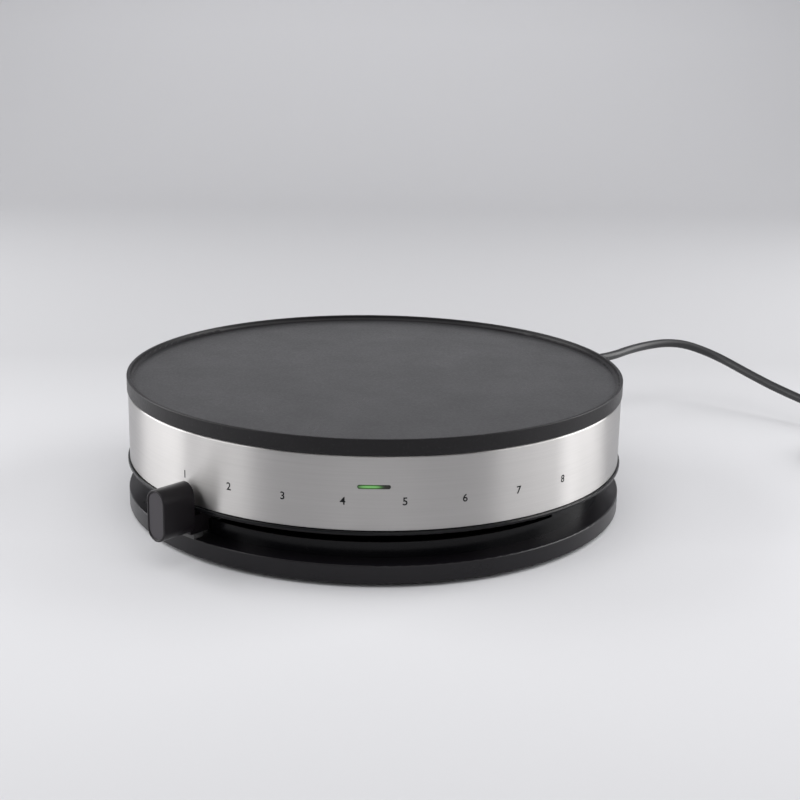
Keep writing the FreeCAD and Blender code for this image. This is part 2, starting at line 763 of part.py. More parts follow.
def neck_and_knob():
    """The grip, drawn at the front as one solid with the neck that reaches inwards."""
    body = new_body("slider_knob")
    radius = "(knob_width / 2)"
    half = f"(knob_tall / 2 - {radius})"
    middle = "(knob_low + knob_tall / 2)"
    grip = sketch_on(body, "XZ_Plane", lift=KNOB_IN, shift=middle)
    pad(body, stadium(grip, half, radius, upright=True), "knob_depth")
    seat = sketch_on(body, "XZ_Plane", lift=KNOB_OUT, shift=middle)
    stadium(seat, half, f"{radius} - knob_border", upright=True)
    pocket(body, seat, "cap_depth + cap_sink")
    neck = sketch_on(body, "XZ_Plane", lift=f"{ARM_OUT} - 14")
    rectangle(neck, "-neck_width / 2", ARM_TOP, "neck_width / 2", NECK_TOP)
    pad(body, neck, f"{KNOB_IN} - {ARM_OUT} + 15")
    web = sketch_on(body, "XZ_Plane", lift=f"{WALL_OUT} + 1.5")
    rectangle(web, "-neck_width / 2", SHOE_TOP, "neck_width / 2", f"{NECK_TOP} - 1")
    pad(body, web, f"{KNOB_IN} - {WALL_OUT} - 0.5")
    for place in ("4", "10"):
        pilot = sketch_on(body, lift=ARM_TOP)
        circle(pilot, "0", f"-({ARM_OUT} - {place})", "1.5 + run_play")
        pocket(body, pilot, "4", Reversed=True)
    grip_end = body.Tip
    edges = outer_edges(body)
    rounding = body.newObject("PartDesign::Fillet", "slider_knob_rounding")
    rounding.Base = (grip_end, edges)
    bind(rounding, Radius="edge_fillet")
    keep(turned_to(body, "knob_azimuth"), "slider_knob")
    return half, radius, middle


def outer_edges(body):
    """The names of the edges round the grip's outer and inner ends."""
    doc.recompute()
    shape = body.Shape
    wanted = []
    for number, edge in enumerate(shape.Edges, 1):
        box = edge.BoundBox
        flat = box.YLength < 1e-6
        outer = abs(-box.YMin - value(KNOB_OUT)) < 1e-6
        on_grip = box.ZMax > value("knob_low + knob_tall") - 9 or box.ZMin < value("knob_low") + 9
        if flat and outer and on_grip:
            wanted.append(f"Edge{number}")
    return wanted


def heat_lever():
    half, radius, middle = neck_and_knob()
    cap = new_body("knob_cap")
    sketch = sketch_on(cap, "XZ_Plane", lift=f"{KNOB_OUT} - cap_depth - cap_sink", shift=middle)
    stadium(sketch, half, f"{radius} - knob_border - seat_play", upright=True)
    pad(cap, sketch, "cap_depth")
    keep(turned_to(cap, "knob_azimuth"), "knob_cap")

    shoe = new_body("glide_shoe")
    inner = f"-({WALL_OUT} + 3.5)"
    outer = f"-({KNOB_IN} - 0.6)"
    nose = "shoe_width / 2 - 0.4"
    corners = [
        ("-shoe_width / 2", inner, nose),
        ("-shoe_width / 2", outer),
        ("shoe_width / 2", outer),
        ("shoe_width / 2", inner, nose),
    ]
    sketch = outline(sketch_on(shoe, lift=SHOE_LOW), corners)
    pad(shoe, sketch, "shoe_wall")
    keep(turned_to(shoe, "knob_azimuth"), "glide_shoe")

    arm = new_body("lever_arm")
    hub = circle(sketch_on(arm, lift="arm_height - 2"), "0", "0", "hub_width / 2")
    pad(arm, hub, "10")
    strip = sketch_on(arm, lift="arm_height")
    corners = [
        ("-arm_width / 2", "-hub_width / 4"),
        ("-arm_width / 2", f"-{ARM_OUT}", "3"),
        ("arm_width / 2", f"-{ARM_OUT}", "3"),
        ("arm_width / 2", "-hub_width / 4"),
    ]
    pad(arm, outline(strip, corners), "arm_wall")
    bored(arm, "0", "arm_height - 3", "14", "shaft_width / 2 + run_play")
    for place in ("4", "10"):
        bored(arm, f"({ARM_OUT} - {place})", "arm_height - 1", "5", "1.7")
    side = sketch_on(arm, "XZ_Plane", lift="-hub_width", shift=f"{ARM_TOP} + 2.6")
    pocket(arm, circle(side, "0", "0", "1.6"), "hub_width", Reversed=True)
    keep(turned_to(arm, "knob_azimuth"), "lever_arm")

    spindle = pegs(
        "thermostat_spindle",
        "0",
        [("arm_height - 2", f"{THERMOSTAT_LOW} + 8 - arm_height", "shaft_width / 2")],
    )
    keep(turned_to(spindle, "knob_azimuth"), "thermostat_spindle")

    grub = new_body("hub_screw")
    turn = sketch_on(grub, "XZ_Plane", lift="-hub_width / 2", shift=f"{ARM_TOP} + 2.6")
    pad(grub, circle(turn, "0", "0", "1.6 - run_play"), "hub_width / 2 - shaft_width / 2 - 0.1")
    keep(turned_to(grub, "knob_azimuth"), "hub_screw")

    clip = pegs("spindle_clip", "0", [(f"{LIP_TOP} + 2.7", "0.8", "5.5")])
    bored(clip, "0", f"{LIP_TOP} + 2", "3", "shaft_width / 2 + run_play")
    keep(turned_to(clip, "knob_azimuth"), "spindle_clip")

    screws = new_body("knob_screws")
    for place in ("4", "10"):
        spot = ("0", f"-({ARM_OUT} - {place})")
        pad(screws, circle(sketch_on(screws, lift="arm_height - 1.8"), *spot, "2.7"), "1.8")
        pad(screws, circle(sketch_on(screws, lift="arm_height"), *spot, "1.5"), "arm_wall + 3.5")
    keep(turned_to(screws, "knob_azimuth"), "knob_screws")


def pivot_bush():
    corners = [
        ("shaft_width / 2 + run_play", LIP_LOW),
        (BUSH_OUT, LIP_LOW),
        (BUSH_OUT, LIP_TOP),
        (f"{BUSH_OUT} + 3", LIP_TOP),
        (f"{BUSH_OUT} + 3", f"{LIP_TOP} + 2.4"),
        ("shaft_width / 2 + run_play", f"{LIP_TOP} + 2.4"),
    ]
    return keep(spun("pivot_bush", corners), "pivot_bush")


def terminals():
    """Terminal block, clamp and the lead's jacket inside the drum, at the cord's azimuth."""
    low = LIP_TOP
    top = f"({low} + 14)"
    span = (f"{BLOCK_MID} - 8", f"{BLOCK_MID} + 8")
    base = block("terminal_block", ("-17", "17"), span, (low, top), "1.2")
    for place in ("-11", "0", "11"):
        for out in (f"({BLOCK_MID} - 4)", f"({BLOCK_MID} + 4)"):
            well = circle(sketch_on(base, lift=f"{top} + 1"), place, f"-{out}", "2.2")
            pocket(base, well, "6")
    keep(turned_to(base, "cord_azimuth"), "terminal_block")
    screws = new_body("terminal_screws")
    for place in ("-11", "0", "11"):
        for out in (f"({BLOCK_MID} - 4)", f"({BLOCK_MID} + 4)"):
            pad(screws, circle(sketch_on(screws, lift=f"{top} - 5"), place, f"-{out}", "1.9"), "3")
    keep(turned_to(screws, "cord_azimuth"), "terminal_screws")

    groove = "(cord_width / 2)"
    depth = (f"{CLAMP_MID} - 4", f"{CLAMP_MID} + 4")
    saddle = block("clamp_saddle", ("-12", "12"), depth, (low, "cord_height - 1.4"))
    cut_groove(saddle, groove)
    keep(turned_to(saddle, "cord_azimuth"), "clamp_saddle")
    span = ("cord_height + 0.6", "cord_height + 7")
    strap = block("cord_clamp", ("-12", "12"), depth, span, "1.6")
    cut_groove(strap, groove)
    screws = new_body("clamp_screws")
    for place in ("-8.4", "8.4"):
        hole = circle(sketch_on(strap, lift="cord_height"), place, f"-{CLAMP_MID}", "1.6")
        pocket(strap, hole, "8", Reversed=True)
        well = circle(sketch_on(saddle, lift=f"{low} + 3"), place, f"-{CLAMP_MID}", "1.5 + run_play")
        pocket(saddle, well, "20", Reversed=True)
        head = circle(sketch_on(screws, lift="cord_height + 7"), place, f"-{CLAMP_MID}", "2.8")
        pad(screws, head, "2")
        shank = circle(sketch_on(screws, lift=f"{low} + 4"), place, f"-{CLAMP_MID}", "1.5")
        pad(screws, shank, f"cord_height + 7 - {low} - 4")
    keep(turned_to(strap, "cord_azimuth"), "cord_clamp")
    keep(turned_to(screws, "cord_azimuth"), "clamp_screws")

    jacket = new_body("inner_cord")
    sketch = sketch_on(jacket, "XZ_Plane", lift=JACKET_END, shift="cord_height")
    pad(jacket, circle(sketch, "0", "0", "cord_width / 2"), f"{CORD_START} - {JACKET_END}")
    keep(turned_to(jacket, "cord_azimuth"), "inner_cord")


def cut_groove(body, radius):
    sketch = sketch_on(body, "XZ_Plane", lift=f"{CLAMP_MID} - 10", shift="cord_height")
    pocket(body, circle(sketch, "0", "0", f"{radius} + run_play"), "20", Reversed=True)


def cord_gland():
    """Strain relief: flange inside, collar outside and a ribbed taper round the lead."""
    bore = "(cord_width / 2 + run_play)"
    collar = f"({BAND_OUT} + 3.4)"
    pitch = f"(({GLAND_END} - {collar}) / 6)"
    corners = [
        (f"-({BAND_IN} - 3)", bore),
        (f"-({BAND_IN} - 3)", "cord_width / 2 + 5.4"),
        (f"-({BAND_IN} - 0.4)", "cord_width / 2 + 5.4"),
        (f"-({BAND_IN} - 0.4)", "cord_width / 2 + 2.7"),
        (f"-({BAND_OUT} + 0.1)", "cord_width / 2 + 2.7"),
        (f"-({BAND_OUT} + 0.1)", "cord_width / 2 + 5.8", "0.4"),
        (f"-{collar}", "cord_width / 2 + 5.4", "1"),
    ]
    for ring in range(5):
        slope = f"(cord_width / 2 + 3.2 - {ring} * 0.42)"
        start = f"({collar} + {ring} * {pitch})"
        corners += [
            (f"-{start}", slope),
            (f"-({start} + {pitch} * 0.62)", f"{slope} - 0.25"),
            (f"-({start} + {pitch} * 0.62)", f"{slope} - 1.1"),
            (f"-({start} + {pitch})", f"{slope} - 1.1"),
        ]
    corners += [
        (f"-({collar} + 5 * {pitch})", "cord_width / 2 + 1.1"),
        (f"-{GLAND_END}", "cord_width / 2 + 0.8", "0.5"),
        (f"-{GLAND_END}", bore),
    ]
    body = spun("cord_gland", corners, "YZ_Plane", "H_Axis", "cord_height")
    return keep(turned_to(body, "cord_azimuth"), "cord_gland")


def tube_path(points):
    """Straight runs joined by tangent arcs, each as large as its two runs allow."""
    edges = []
    last = points[0]
    radii = []
    for before, point, after in zip(points, points[1:], points[2:]):
        back = before - point
        on = after - point
        leg = 0.45 * min(back.Length, on.Length)
        turn = math.pi - back.getAngle(on)
        radii.append(leg / math.tan(turn / 2))
        back.normalize()
        on.normalize()
        start = point + back * leg
        end = point + on * leg
        middle = point + (back + on).normalize() * bulge_of(leg, turn)
        edges.append(Part.LineSegment(last, start).toShape())
        edges.append(Part.Arc(start, middle, end).toShape())
        last = end
    edges.append(Part.LineSegment(last, points[-1]).toShape())
    return Part.Wire(edges), radii


def bulge_of(leg, turn):
    """How far a corner's arc passes inside the corner."""
    radius = leg / math.tan(turn / 2)
    return radius / math.cos(turn / 2) - radius


def tube(label, wire, width, start, heading):
    """A round tube along a wire, as one sub-part."""
    ring = Part.Wire(Part.Circle(start, heading, width / 2).toShape())
    solid = wire.makePipeShell([ring], True, False)
    expected = math.pi * width ** 2 / 4 * wire.Length
    if abs(solid.Volume - expected) > 0.01 * expected:
        raise ValueError(f"{label}: volume {solid.Volume:.0f} is not {expected:.0f}")
    item = doc.addObject("Part::Feature", label)
    item.Shape = solid
    return keep(item, label)


def routed_tube(label, points, width):
    wire, radii = tube_path(points)
    listed = ", ".join(f"{radius:.0f}" for radius in radii)
    print(f"{label}: length {wire.Length:.0f}, radii {listed}")
    return tube(label, wire, width, points[0], points[1] - points[0])


def front_to(azimuth, out, across, up):
    """A point given at the front, turned to its azimuth."""
    turn = math.radians(azimuth)
    return Vector(
        out * math.sin(turn) + across * math.cos(turn),
        -out * math.cos(turn) + across * math.sin(turn),
        up,
    )


def free_cord():
    """The lead's free stretch, from inside the strain relief to its coil."""
    azimuth = value("cord_azimuth")
    height = value("cord_height")
    start = front_to(azimuth, value(CORD_START), 0, height)
    leave = front_to(azimuth, value(GLAND_END) + 11.7, 0, height)
    route = [
        (147.0, 199.9, 48.8),
        (193.5, 216.4, 47.4),
        (227.0, 255.4, 48.9),
        (264.8, 273.3, 50.4),
        (296.8, 268.1, 40.9),
        (323.0, 237.8, 30.5),
        (343.2, 217.1, 22.9),
        (376.0, 180.0, 14.6),
        (401.0, 163.0, 9.2),
        (422.0, 143.0, 5.2),
        (434.0, 118.0, 3.9),
    ]
    points = [start, leave] + [Vector(*point) for point in route] + [COIL_ENTRY]
    return routed_tube("power_cord", points, value("cord_width"))


COIL_ENTRY = Vector(434.0, 98.0, 3.9)
QUARTERS = 12


def coil_point(turns, radius, pitch, width):
    """A point of the coil after some turns: in on the low layer, out again on the high one."""
    slope = math.atan(pitch / (2 * math.pi) / radius)
    total = 3 + slope / math.pi
    layer = (total - 0.5) / 2
    centre = COIL_ENTRY + Vector(-radius * math.cos(slope), -width - radius * math.sin(slope), 0)
    inner = radius - pitch * layer
    if turns <= layer:
        reach, climb = radius - pitch * turns, 0.0
    elif turns <= layer + 0.5:
        step = turns - layer
        reach = inner - pitch * step + 2 * pitch * step ** 2
        share = step / 0.5
        climb = share * share * (3 - 2 * share)
    else:
        reach, climb = inner + pitch * (turns - layer - 0.5), 1.0
    angle = slope - 2 * math.pi * turns
    flat = Vector(reach * math.cos(angle), reach * math.sin(angle), climb * pitch)
    return centre + flat, total


def biarc(start, start_way, end, end_way):
    """Two arcs that meet smoothly between two points with given headings."""
    chord = end - start
    both = start_way + end_way
    spread = 2 * (1 - start_way.dot(end_way))
    along = chord.dot(both)
    reach = (-along + math.sqrt(along ** 2 + spread * chord.dot(chord))) / spread
    joint = (start + start_way * reach + end - end_way * reach) * 0.5
    arcs = []
    for one, corner, other in (
        (start, start + start_way * reach, joint),
        (joint, end - end_way * reach, end),
    ):
        weight = (other - one).Length / (2 * reach)
        middle = (one + corner * (2 * weight) + other) * (1 / (2 * (1 + weight)))
        arcs.append(Part.Arc(one, middle, other).toShape())
    return arcs


def cord_coil():
    """Three turns in two layers: one unbroken tube, straight for one width at each end."""
    width = value("cord_width")
    sizes = (value("coil_radius"), value("coil_pitch"), width)
    total = coil_point(0, *sizes)[1]
    stops = [total * index / QUARTERS for index in range(QUARTERS + 1)]
    spots = [coil_point(stop, *sizes)[0] for stop in stops]
    ways = []
    for stop in stops:
        low = max(stop - 1e-4, 0)
        high = min(stop + 1e-4, total)
        way = coil_point(high, *sizes)[0] - coil_point(low, *sizes)[0]
        ways.append(way.normalize())
    ways[0] = ways[-1] = Vector(0, -1, 0)
    leave = spots[-1] + ways[-1] * width
    edges = [Part.LineSegment(COIL_ENTRY, spots[0]).toShape()]
    for index in range(QUARTERS):
        edges += biarc(spots[index], ways[index], spots[index + 1], ways[index + 1])
    edges.append(Part.LineSegment(spots[-1], leave).toShape())
    wire = Part.Wire(edges)
    samples = wire.discretize(Number=900)
    step = wire.Length / 899
    apart = int(3 * width / step)
    gap = min(
        (one - other).Length
        for index, one in enumerate(samples)
        for other in samples[index + apart:]
    )
    print(f"cord_coil: length {wire.Length:.0f}, least gap to itself {gap - width:.2f}")
    tube("cord_coil", wire, width, COIL_ENTRY, ways[0])
    return leave


def cord_tail(start):
    """From the coil's top layer down to the plug's rear."""
    route = [
        (434.0, 62.0, 11.75),
        (431.0, 43.0, 14.4),
        (427.0, 24.5, 18.2),
    ]
    rear = Vector(427.0, 6.5, value("plug_radius + part_play"))
    points = [start] + [Vector(*point) for point in route] + [rear]
    points[-2].z = rear.z
    routed_tube("cord_tail", points, value("cord_width"))
    return rear


def plug(rear):
    """Earthed plug lying on the table, its pins towards the front."""
    turn = Placement(rear, Rotation())
    grip = "(cord_width / 2 + 2.4)"
    corners = [
        ("0", "0"),
        ("0", f"{grip}", "1.2"),
        ("-12", f"{grip} + 1.5"),
        ("-15", "plug_radius - 4.5", "2"),
        ("-(plug_length - 12)", "plug_radius - 1.5", "2"),
        ("-(plug_length - 8)", "plug_radius", "1"),
        ("-plug_length", "plug_radius", "1.2"),
        ("-plug_length", "0"),
    ]
    body = spun("plug_body", corners, "YZ_Plane", "H_Axis")
    for side in ("-1", "1"):
        low = f"{side} * (plug_radius - 0.5)"
        cut = sketch_on(body, "XZ_Plane", lift="plug_length + 1")
        corners = [
            (f"{low} - 2.6", "-3"),
            (f"{low} + 2.6", "-3"),
            (f"{low} + 2.6", "3"),
            (f"{low} - 2.6", "3"),
        ]
        pocket(body, outline(cut, corners), "20")
    body.Placement = turn
    keep(body, "plug_body")

    pins = new_body("plug_pins")
    for side in ("-1", "1"):
        sketch = sketch_on(pins, "XZ_Plane", lift="plug_length", shift="0")
        circle(sketch, "0", f"{side} * plug_pin_pitch / 2", "plug_pin / 2")
        pad(pins, sketch, "plug_pin_reach")
    pins.Placement = turn
    keep(pins, "plug_pins")

    clips = new_body("plug_earth_clips")
    for side in ("-1", "1"):
        low = f"{side} * (plug_radius - 2.6)"
        strip = sketch_on(clips, "XZ_Plane", lift="plug_length - 16")
        pad(clips, rectangle(strip, f"{low} - 0.4", "-2", f"{low} + 0.4", "2"), "15.4")
    clips.Placement = turn
    keep(clips, "plug_earth_clips")


def mirrored(point):
    return Vector(-point.x, point.y, point.z)


def heating_element():
    """Tubular loop under the plate; both cold ends bend straight down."""
    radius = value(LOOP_RADIUS)
    height = value(LOOP_HEIGHT)
    bend = value("pin_bend")
    drop = value("pin_drop")
    half_gap = math.radians(value("loop_gap") / 2)
    spot = Vector(radius * math.sin(half_gap), radius * math.cos(half_gap), height)
    way = Vector(-math.cos(half_gap), math.sin(half_gap), 0)
    down = Vector(0, 0, -1)
    half = math.sin(math.pi / 4)
    knee = spot + way * (bend * half) + down * (bend * (1 - half))
    foot = spot + (way + down) * bend
    tip = foot + down * drop

    far = Vector(0, -radius, height)
    edges = [
        Part.LineSegment(tip, foot).toShape(),
        Part.Arc(foot, knee, spot).toShape(),
        Part.Arc(spot, far, mirrored(spot)).toShape(),
        Part.Arc(mirrored(spot), mirrored(knee), mirrored(foot)).toShape(),
        Part.LineSegment(mirrored(foot), mirrored(tip)).toShape(),
    ]
    tube("heating_element", Part.Wire(edges), value("loop_tube"), tip, Vector(0, 0, 1))
    return tip, mirrored(tip)


def element_terminals(tips):
    solids = []
    for tip in tips:
        pin = Part.makeCylinder(1.5, 4, tip + Vector(0, 0, -4))
        blade = Part.makeBox(0.8, 6.3, 7, tip + Vector(-0.4, -3.15, -11))
        solids.append(pin.fuse(blade))
    item = doc.addObject("Part::Feature", "element_terminals")
    item.Shape = Part.makeCompound(solids)
    keep(item, "element_terminals")
    return [tip + Vector(0, 0, -11) for tip in tips]


def inside(across, back, rise):
    """A point of the wiring room, in shares of the loop's radius and of the room's height."""
    radius = value(LOOP_RADIUS)
    low = value(LIP_TOP)
    return Vector(across * radius, back * radius, low + rise * (value(SHIELD_LOW) - low))


def wires(tabs):
    """Insulated cores between the jacket, the block, the thermostat, the fuse and the loop."""
    width = value("core_width")
    azimuth = value("cord_azimuth")
    height = value("cord_height")
    level = value(LIP_TOP) + 6
    start = value(JACKET_END)
    block_out = value(BLOCK_MID) + 8
    block_in = value(BLOCK_MID) - 8
    poles = (11.0, 0.0, -11.0)
    cores = []
    for near, pole in zip((width, 0.0, -width), poles):
        points = [
            front_to(azimuth, start, near, height),
            front_to(azimuth, start - 3, near, height),
            front_to(azimuth, block_out + 4, pole, level),
            front_to(azimuth, block_out, pole, level),
        ]
        cores.append(core_solid(points, width))
    item = doc.addObject("Part::Feature", "supply_cores")
    item.Shape = Part.makeCompound(cores)
    keep(item, "supply_cores")

    neutral, live, earth = (
        [front_to(azimuth, block_in, pole, level), front_to(azimuth, block_in - 8, pole, level)]
        for pole in poles
    )
    tab = Vector(8, value("thermostat_width / 2") + 9, value(THERMOSTAT_LOW) + 3)
    fuse = Vector(-38, FUSE_BACK, value(FUSE_HEIGHT))
    screw = Vector(value("strap_reach"), 0, value(STRAP_LOW) - 2)
    board = value(f"{BAND_IN} - 1.8 - 5 - board_wall - 2.4")
    lamp = value("lamp_height")
    down = Vector(0, 0, -1)
    routes = {
        "live_wire": live + [inside(0.3, 0.52, 0.3), tab + down * 12, tab + down * 0.1],
        "switched_wire": [
            mirrored(tab) + down * 0.1,
            mirrored(tab) + down * 12,
            inside(-0.22, 0.5, 0.62),
            fuse + Vector(8, 0, 0),
            fuse + Vector(0.1, 0, 0),
        ],
        "element_wire": [
            fuse + Vector(-34.1, 0, 0),
            fuse + Vector(-42, 0, 0),
            inside(-0.7, 0.74, 0.4),
            inside(-0.3, 0.93, 0.26),
            tabs[1] + down * 8,
            tabs[1] + down * 0.1,
        ],
        "neutral_wire": neutral + [inside(0.2, 0.95, 0.18), tabs[0] + down * 8, tabs[0] + down * 0.1],
        "earth_wire": earth + [inside(0.5, 0.3, 0.3), screw + down * 8, screw + down * 0.1],
        "lamp_wires": [
            front_to(azimuth, value(BLOCK_MID), -17.1, level),
            front_to(azimuth, value(BLOCK_MID), -26, level),
            inside(0.95, 0.2, 0.24),
            inside(0.6, -1.1, 0.3),
            Vector(LAMP_WIRE_SIDE, -board + 16, lamp - 5),
            Vector(LAMP_WIRE_SIDE, -board + 8, lamp),
            Vector(LAMP_WIRE_SIDE, -board + 0.1, lamp),
        ],
    }
    for label, points in routes.items():
        item = doc.addObject("Part::Feature", label)
        item.Shape = core_solid(points, width)
        keep(item, label)


def core_solid(points, width):
    wire, _ = tube_path(points)
    ring = Part.Wire(Part.Circle(points[0], points[1] - points[0], width / 2).toShape())
    return wire.makePipeShell([ring], True, False)


def build():
    fill_sheet()
    griddle_plate()
    insulating_ring()
    steel_band()
    lower_housing()
    groove_wall()
    base_tray()
    feet_and_screws()
    heat_shield()
    thermostat()
    thermal_fuse()
    indicator()
    pivot_bush()
    heat_lever()
    terminals()
    cord_gland()
    wires(element_terminals(heating_element()))
    free_cord()
    plug(cord_tail(cord_coil()))
    doc.recompute()


def check():
    """Stops if any object failed or any sub-part has no sound solid."""
    for item in doc.Objects:
        faults = {"Invalid", "Error"}.intersection(item.State)
        if faults:
            raise ValueError(f"{item.Label} ({item.Name}): {item.State}")
    for item in PARTS:
        shape = item.Shape
        if shape.isNull() or not shape.isValid() or not shape.Solids:
            raise ValueError(f"{item.Label}: no sound solid")


def export():
    os.makedirs("parts", exist_ok=True)
    for item in PARTS:
        item.Shape.exportStep(f"parts/{item.Label}.step")
    print(f"{len(PARTS)} sub-parts written")


build()
check()
export()
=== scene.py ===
"""Electric crepe maker: finishes, scale numbers, mains lead, studio and camera.

Metres, +Z up, origin on the drum's axis at the table. The lamp faces -Y, and an azimuth
is counted from there towards +X.
"""

import logging
import math
from dataclasses import dataclass
from enum import Enum
from typing import Any, Optional, Union

import bmesh
import bpy
from mathutils import Matrix, Vector


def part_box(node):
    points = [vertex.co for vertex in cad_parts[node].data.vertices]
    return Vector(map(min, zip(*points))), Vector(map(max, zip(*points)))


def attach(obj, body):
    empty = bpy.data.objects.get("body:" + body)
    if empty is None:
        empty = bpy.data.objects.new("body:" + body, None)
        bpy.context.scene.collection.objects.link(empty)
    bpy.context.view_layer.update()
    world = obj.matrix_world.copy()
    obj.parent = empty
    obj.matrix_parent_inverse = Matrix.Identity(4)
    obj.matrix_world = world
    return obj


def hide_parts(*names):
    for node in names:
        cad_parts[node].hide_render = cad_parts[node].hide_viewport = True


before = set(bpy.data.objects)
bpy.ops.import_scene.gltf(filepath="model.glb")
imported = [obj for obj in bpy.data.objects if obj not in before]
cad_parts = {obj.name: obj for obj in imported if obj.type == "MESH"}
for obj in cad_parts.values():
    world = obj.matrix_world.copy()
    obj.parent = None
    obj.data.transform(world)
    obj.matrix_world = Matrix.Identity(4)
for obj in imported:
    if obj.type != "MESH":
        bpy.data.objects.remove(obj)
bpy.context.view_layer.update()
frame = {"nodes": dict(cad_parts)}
MM = 0.001

Colour = tuple[float, float, float]
Number = Union["Socket", float]

log = logging.getLogger("crepe_maker")


class Socket:
    """A node's output that takes part in Python arithmetic."""

    def __init__(self, graph: "Graph", output: bpy.types.NodeSocket) -> None:
        """Keeps the graph and the output that it wraps."""
        self.graph = graph
        self.output = output

    def __add__(self, other: Number) -> "Socket":
        """The sum."""
        return self.graph.math("ADD", self, other)

    def __radd__(self, other: Number) -> "Socket":
        """The sum, with the number first."""
        return self.graph.math("ADD", other, self)

    def __sub__(self, other: Number) -> "Socket":
        """The difference."""
        return self.graph.math("SUBTRACT", self, other)

    def __rsub__(self, other: Number) -> "Socket":
        """The difference, with the number first."""
        return self.graph.math("SUBTRACT", other, self)

    def __mul__(self, other: Number) -> "Socket":
        """The product."""
        return self.graph.math("MULTIPLY", self, other)

    def __rmul__(self, other: Number) -> "Socket":
        """The product, with the number first."""
        return self.graph.math("MULTIPLY", other, self)

    def __truediv__(self, other: Number) -> "Socket":
        """The quotient."""
        return self.graph.math("DIVIDE", self, other)

    def __rtruediv__(self, other: Number) -> "Socket":
        """The quotient, with the number first."""
        return self.graph.math("DIVIDE", other, self)

    def __pow__(self, other: Number) -> "Socket":
        """The power."""
        return self.graph.math("POWER", self, other)

    def clamped(self) -> "Socket":
        """The value held between 0 and 1."""
        return self.graph.math("MAXIMUM", self.graph.math("MINIMUM", self, 1.0), 0.0)


class Graph:
    """The node tree of one material or of the world."""

    def __init__(self, tree: bpy.types.NodeTree) -> None:
        """Empties the tree."""
        self.tree = tree
        tree.nodes.clear()

    def node(
        self,
        kind: str,
        settings: Optional[dict[str, Any]] = None,
        inputs: Optional[dict[Union[str, int], Any]] = None,
    ) -> bpy.types.Node:
        """Adds a node.

        Args:
            kind: The node's type name.
            settings: Its properties; "stops" gives a ramp's positions and colours.
            inputs: A value, a Socket or an output for each input, by name or by number.

        Returns:
            The new node.
        """
        made = self.tree.nodes.new(kind)
        for name, setting in (settings or {}).items():
            if name != "stops":
                setattr(made, name, setting)
                continue
            stops = made.color_ramp.elements
            while len(stops) < len(setting):
                stops.new(0.5)
            for stop, (place, colour) in zip(stops, setting):
                stop.position = place
                stop.color = (*colour, 1.0)
        for name, given in (inputs or {}).items():
            if isinstance(given, Socket):
                self.tree.links.new(given.output, made.inputs[name])
            elif isinstance(given, bpy.types.NodeSocket):
                self.tree.links.new(given, made.inputs[name])
            else:
                made.inputs[name].default_value = given
        return made

    def math(self, operation: str, *values: Number) -> Socket:
        """Adds a Math node.

        Args:
            operation: The node's operation.
            values: Its one, two or three values.

        Returns:
            The result.
        """
        made = self.node("ShaderNodeMath", {"operation": operation}, dict(enumerate(values)))
        return Socket(self, made.outputs[0])

    def place(self) -> bpy.types.NodeSocket:
        """The surface point in the piece's own metres."""
        return self.node("ShaderNodeTexCoord").outputs["Object"]

    def axes(self) -> tuple[Socket, Socket, Socket]:
        """The surface point's X, Y and Z."""
        split = self.node("ShaderNodeSeparateXYZ", inputs={0: self.place()})
        x, y, z = (Socket(self, output) for output in split.outputs)
        return x, y, z

    def around(self) -> tuple[Socket, Socket, Socket]:
        """The azimuth in radians, the distance from the drum's axis and the height."""
        x, y, z = self.axes()
        reach = (x * x + y * y) ** 0.5
        return self.math("ARCTAN2", x, 0.0 - y), reach, z

    def vector(self, x: Number, y: Number, z: Number) -> bpy.types.NodeSocket:
        """Three numbers as a vector."""
        return self.node("ShaderNodeCombineXYZ", inputs={0: x, 1: y, 2: z}).outputs[0]

    def noise(
        self,
        grain: float,
        detail: float = 2.0,
        where: Optional[bpy.types.NodeSocket] = None,
    ) -> Socket:
        """Cloudy noise around one half.

        Args:
            grain: The size of its patches, in the units of the place.
            detail: How many finer layers it has.
            where: The place to read it at; the piece's own metres if left out.

        Returns:
            The noise.
        """
        made = self.node(
            "ShaderNodeTexNoise",
            inputs={
                "Vector": where or self.place(),
                "Scale": 1.0 / grain,
                "Detail": detail,
            },
        )
        return Socket(self, made.outputs[0])

    def band(self, number: Number, low: float, high: float) -> Socket:
        """A smooth step that rises from 0 to 1 between two values.

        Args:
            number: What is compared.
            low: Where the step starts.
            high: Where it ends.

        Returns:
            The step.
        """
        made = self.node(
            "ShaderNodeMapRange",
            {"interpolation_type": "SMOOTHSTEP"},
            {0: number, 1: low, 2: high, 3: 0.0, 4: 1.0},
        )
        return Socket(self, made.outputs[0])

    def blend(
        self, share: Number, first: Union[Colour, Socket], second: Union[Colour, Socket]
    ) -> Socket:
        """A colour between two others.

        Args:
            share: How much of the second shows.
            first: The colour at 0.
            second: The colour at 1.

        Returns:
            The mixed colour.
        """
        given = [c if isinstance(c, Socket) else (*c, 1.0) for c in (first, second)]
        made = self.node(
            "ShaderNodeMix", {"data_type": "RGBA"}, {0: share, 6: given[0], 7: given[1]}
        )
        return Socket(self, made.outputs[2])

    def bump(self, height: Socket, depth: float, strength: float = 1.0) -> Socket:
        """A normal bent by a height.

        Args:
            height: The height, about 0 to 1.
            depth: What 1 stands for, in metres.
            strength: The share of it that shows.

        Returns:
            The normal.
        """
        made = self.node(
            "ShaderNodeBump",
            inputs={"Strength": strength, "Distance": depth, "Height": height},
        )
        return Socket(self, made.outputs[0])


